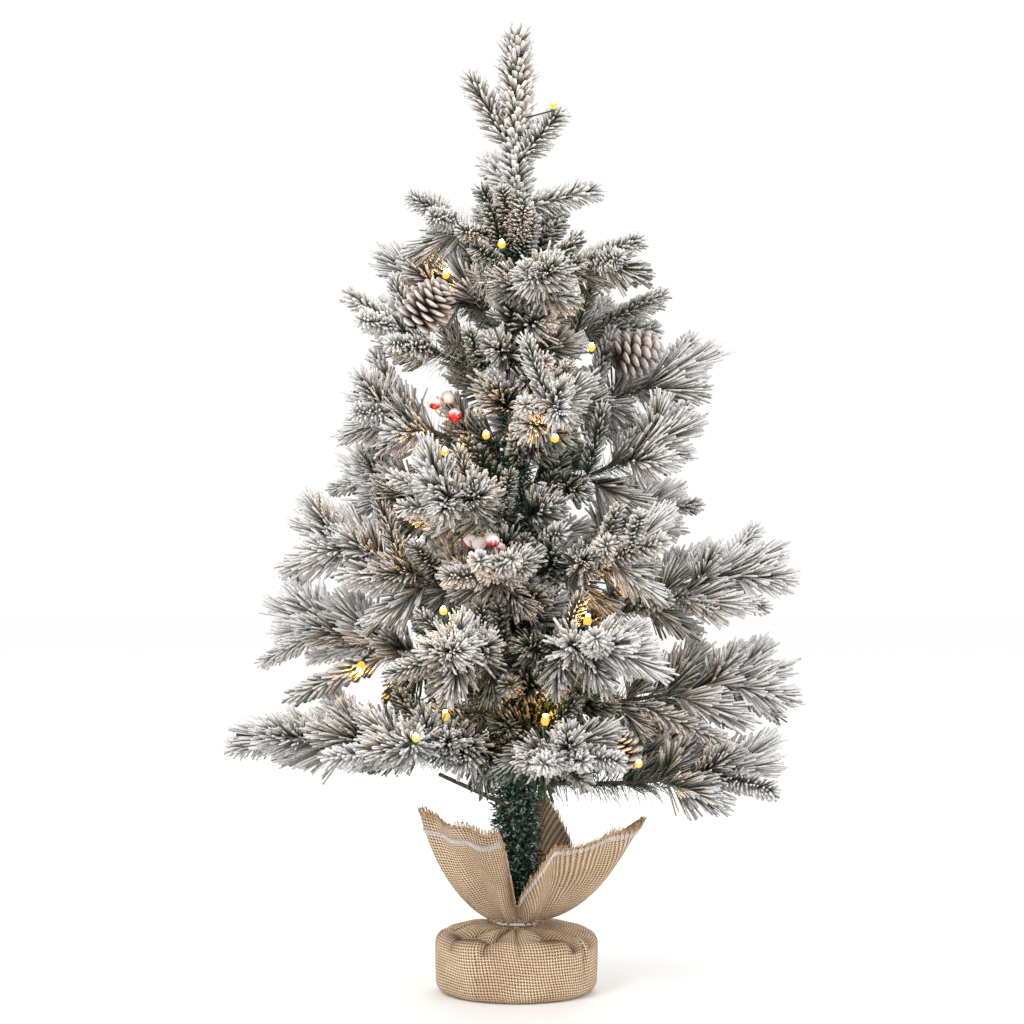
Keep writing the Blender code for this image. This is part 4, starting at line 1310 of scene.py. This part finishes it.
# CAD node or none, branch, share, side, shift across the fan and away from it
lampLayout = [
    ("lamp_1", "front_left_1", 0.38, 1, 0.0, 0.0),
    ("lamp_2", "front_right_1", 0.38, 1, 0.0, 0.0),
    ("lamp_3", "left_2", 0.52, -1, 0.0, 0.0),
    ("lamp_4", "front_right_2", 0.56, 1, 0.0, 0.0),
    (None, "back_2", 0.50, 1, 0.0, 0.012),
    (None, "back_4", 0.60, 1, 0.0, 0.012),
    (None, "back_3", 0.60, 1, 0.0, 0.012),
    (None, "back_right_1", 0.60, 1, 0.0, 0.012),
    (None, "back_left_1", 0.60, 1, 0.0, 0.012),
]


def growLamp(name, frame, lead, body):
    """A bulb in its holder, with two wires that run through the places of its lead."""
    glass, holder, core = bmesh.new(), bmesh.new(), bmesh.new()
    bmesh.ops.create_uvsphere(
        core, u_segments=10, v_segments=8, radius=lamp["core"],
        matrix=Matrix.Translation((0, 0, lamp["holderLength"] + lamp["length"] * 0.9)),
    )
    toPiece(core, name + "_core", coreMaterial, frame, body)
    bmesh.ops.create_uvsphere(
        glass, u_segments=12, v_segments=8, radius=1.0,
        matrix=Matrix.Translation((0, 0, lamp["holderLength"] + lamp["length"] * 0.4)) @ Matrix.Diagonal(
            (lamp["radius"], lamp["radius"], lamp["length"] * 0.5, 1.0)
        ),
    )
    bmesh.ops.create_cone(
        holder, cap_ends=True, segments=12, radius1=lamp["holder"] * 0.8, radius2=lamp["holder"],
        depth=lamp["holderLength"], matrix=Matrix.Translation((0, 0, lamp["holderLength"] / 2)),
    )
    for aside in (-0.0009, 0.0009):
        shift = Vector((aside, 0, 0))
        last = Vector((0, 0, 0.001)) + shift
        for place in lead:
            addThread(holder, last, place + shift, lamp["lead"], 5)
            last = place + shift
    for face in glass.faces:
        face.smooth = True
    toPiece(holder, name + "_holder", cableMaterial, frame, body)
    return toPiece(glass, name + "_glass", lampMaterial, frame, body)


def growStandingLamp(number, layout):
    node, branch, share, side, across, lift = layout
    frame = branchFrame(layoutNamed[branch], share, side, across, lift)
    drop = lobeOf(layoutNamed[branch]) + lift
    lead = [Vector((-0.006, 0, -drop)), Vector((-0.040, 0.002, -drop))]
    piece = growLamp(node or f"lamp_{number + 1}", frame, lead, "fold_" + branch)
    if node:
        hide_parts(node)


def growFrontLamp(number, branch, place):
    """Turned to the front and a little up, with its wires back to the stem or the pole."""
    world = frameOf(branch)
    spot = world @ Vector(place)
    root = Vector((0, 0, spot.z - 0.004))
    if branch is not None:
        name, azimuth, turn, rise, length, twist, kinds = layoutNamed[branch]
        root = world @ stemPoint(place[0] * 0.9, rise, length)
    facing = Vector((0.0, -0.85, 0.5)).normalized()
    frame = Matrix.Translation(spot) @ facing.to_track_quat("Z", "Y").to_matrix().to_4x4()
    lead = [frame.inverted() @ root]
    growLamp(f"lamp_{number + 1}", frame, lead, "trunk_and_base" if branch is None else "fold_" + branch)


def makeLampMaterial():
    material, nodes, shader = newMaterial("warm_lamp", 0.15)
    shader.inputs["Base Color"].default_value = (0.45, 0.15, 0.02, 1)
    shader.inputs["Emission Color"].default_value = (1.0, 0.44, 0.06, 1)
    shader.inputs["Emission Strength"].default_value = lamp["glow"]
    return material


def makeCoreMaterial():
    material, nodes, shader = newMaterial("lamp_core", 0.2)
    shader.inputs["Base Color"].default_value = (1.0, 0.85, 0.55, 1)
    shader.inputs["Emission Color"].default_value = (1.0, 0.42, 0.05, 1)
    shader.inputs["Emission Strength"].default_value = lamp["coreGlow"]
    return material


def makeCableMaterial():
    stops = [(0.35, (0.008, 0.050, 0.022)), (0.65, (0.022, 0.095, 0.045))]
    return speckledFinish("green_cable", 0.40, 240.0, stops, (0.2, 0.0002))


def makeBerryStemMaterial():
    return speckledFinish("berry_stem", 0.8, 300.0, [(0.40, (0.16, 0.24, 0.11)), (0.62, (0.70, 0.70, 0.66))])


print("stage: ornaments")
coneMaterial = makeConeMaterial()
berryMaterial = makeBerryMaterial()
berryStemMaterial = makeBerryStemMaterial()
lampMaterial = makeLampMaterial()
coreMaterial = makeCoreMaterial()
cableMaterial = makeCableMaterial()
for layout in coneLayout:
    growCone(*layout)
for number, layout in enumerate(berryLayout):
    growBerries(number, layout)
for number, layout in enumerate(lampLayout):
    growStandingLamp(number, layout)
for number, (branch, place) in enumerate(frontLamps):
    growFrontLamp(len(lampLayout) + number, branch, place)


# finishes of the CAD pieces that keep their shape

def grainedPlastic(name, dark, pale, roughness, scale=900.0):
    material, nodes, shader = newMaterial(name, roughness)
    grain = noisePattern(nodes, scale, 3.0)
    tone = noisePattern(nodes, 35.0, 3.0)
    nodes.links.new(colourRamp(nodes, tone, [(0.3, dark), (0.7, pale)]), shader.inputs["Base Color"])
    addBump(nodes, shader, grain, 0.25, 0.0003)
    return material


def makeCement():
    stops = [(0.3, (0.26, 0.25, 0.235)), (0.7, (0.52, 0.50, 0.47))]
    return speckledFinish("cement", 0.95, 420.0, stops, (0.8, 0.0012), detail=6.0, grit=0.7)


def makePolePaint():
    stops = [(0.3, (0.016, 0.060, 0.026)), (0.7, (0.026, 0.085, 0.040))]
    return speckledFinish("pole_paint", 0.35, 300.0, stops, (0.15, 0.0002), metallic=0.3)


def makeContactMetal():
    stops = [(0.3, (0.58, 0.57, 0.54)), (0.7, (0.78, 0.77, 0.74))]
    return speckledFinish("contact_metal", 0.32, 500.0, stops, (0.15, 0.0001), metallic=1.0, detail=2.0)


def makeCellJacket():
    """A cell's printed jacket in two plain colours, and its bare metal end."""
    material, nodes, shader = newMaterial("cell_jacket", 0.30, 0.4)
    place = nodes.nodes.new("ShaderNodeTexCoord")
    split = nodes.nodes.new("ShaderNodeSeparateXYZ")
    nodes.links.new(place.outputs["Object"], split.inputs[0])
    low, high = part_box("battery_cell_1")
    climb = nodes.nodes.new("ShaderNodeMapRange")
    climb.inputs["From Min"].default_value = low[2]
    climb.inputs["From Max"].default_value = high[2]
    nodes.links.new(split.outputs["Z"], climb.inputs["Value"])
    ramp = colourRamp(nodes, climb.outputs["Result"], [
        (0.0, (0.60, 0.60, 0.58)), (0.02, (0.035, 0.035, 0.04)), (0.70, (0.03, 0.03, 0.035)),
        (0.72, (0.55, 0.28, 0.06)), (0.955, (0.50, 0.25, 0.05)), (0.97, (0.62, 0.62, 0.60)),
    ])
    nodes.links.new(ramp, shader.inputs["Base Color"])
    addBump(nodes, shader, noisePattern(nodes, 500.0), 0.1, 0.0001)
    return material


def paint(material, *names):
    for name in names:
        node = bpy.data.objects[name]
        node.data.materials.clear()
        node.data.materials.append(material)


print("stage: finishes")
paint(cableMaterial, "light_cable")
paint(grainedPlastic("case_plastic", (0.014, 0.060, 0.028), (0.022, 0.080, 0.038), 0.45),
      "battery_case", "battery_cover")
paint(grainedPlastic("knob_plastic", (0.015, 0.015, 0.016), (0.03, 0.03, 0.032), 0.4), "switch_knob")
paint(grainedPlastic("pot_plastic", (0.03, 0.03, 0.03), (0.06, 0.058, 0.055), 0.5),
      "base_pot", "pole_sleeve")
paint(grainedPlastic("tie_wire", (0.012, 0.012, 0.012), (0.03, 0.04, 0.03), 0.45), "box_twist_tie")
paint(makeCement(), "cement_weight")
paint(makePolePaint(), "trunk_pole")
paint(makeContactMetal(), "contact_plate_bottom", "contact_plate_top")
paint(makeCellJacket(), "battery_cell_1", "battery_cell_2", "battery_cell_3")


# floor, light and camera

# name, place, size and power of each light
studioLights = [
    ("key", (-1.6, -2.2, 2.4), 1.2, 45.0),
    ("fill", (2.0, -1.8, 1.2), 1.8, 12.0),
    ("back", (0.4, 2.2, 2.0), 1.6, 20.0),
]


def makeStudio():
    floorMaterial, nodes, shader = newMaterial("pale_floor", 0.9)
    shader.inputs["Base Color"].default_value = (0.95, 0.95, 0.95, 1)
    shape = bmesh.new()
    bmesh.ops.create_grid(shape, x_segments=1, y_segments=1, size=6.0)
    mesh = bpy.data.meshes.new("floor")
    shape.to_mesh(mesh)
    shape.free()
    mesh.materials.append(floorMaterial)
    floor = bpy.data.objects.new("floor", mesh)
    bpy.context.scene.collection.objects.link(floor)
    world = bpy.data.worlds.new("studio")
    world.use_nodes = True
    world.node_tree.nodes["Background"].inputs["Color"].default_value = (1, 1, 1, 1)
    world.node_tree.nodes["Background"].inputs["Strength"].default_value = 1.02
    bpy.context.scene.world = world
    for name, place, size, power in studioLights:
        light = bpy.data.lights.new(name, "AREA")
        light.shape = "DISK"
        light.size = size
        light.energy = power
        stand = bpy.data.objects.new(name, light)
        stand.location = place
        aim = Vector((0, 0, 0.42)) - Vector(place)
        stand.rotation_euler = aim.to_track_quat("-Z", "Y").to_euler()
        bpy.context.scene.collection.objects.link(stand)
    camera = bpy.data.cameras.new("camera")
    camera.lens = view["lens"]
    camera.shift_x, camera.shift_y = view["shift"]
    holder = bpy.data.objects.new("camera", camera)
    holder.location = (0, -view["distance"], view["height"])
    holder.rotation_euler = (math.pi / 2, 0, 0)
    bpy.context.scene.collection.objects.link(holder)
    bpy.context.scene.camera = holder
    bpy.context.scene.view_settings.view_transform = "Standard"


print("stage: studio")
makeStudio()
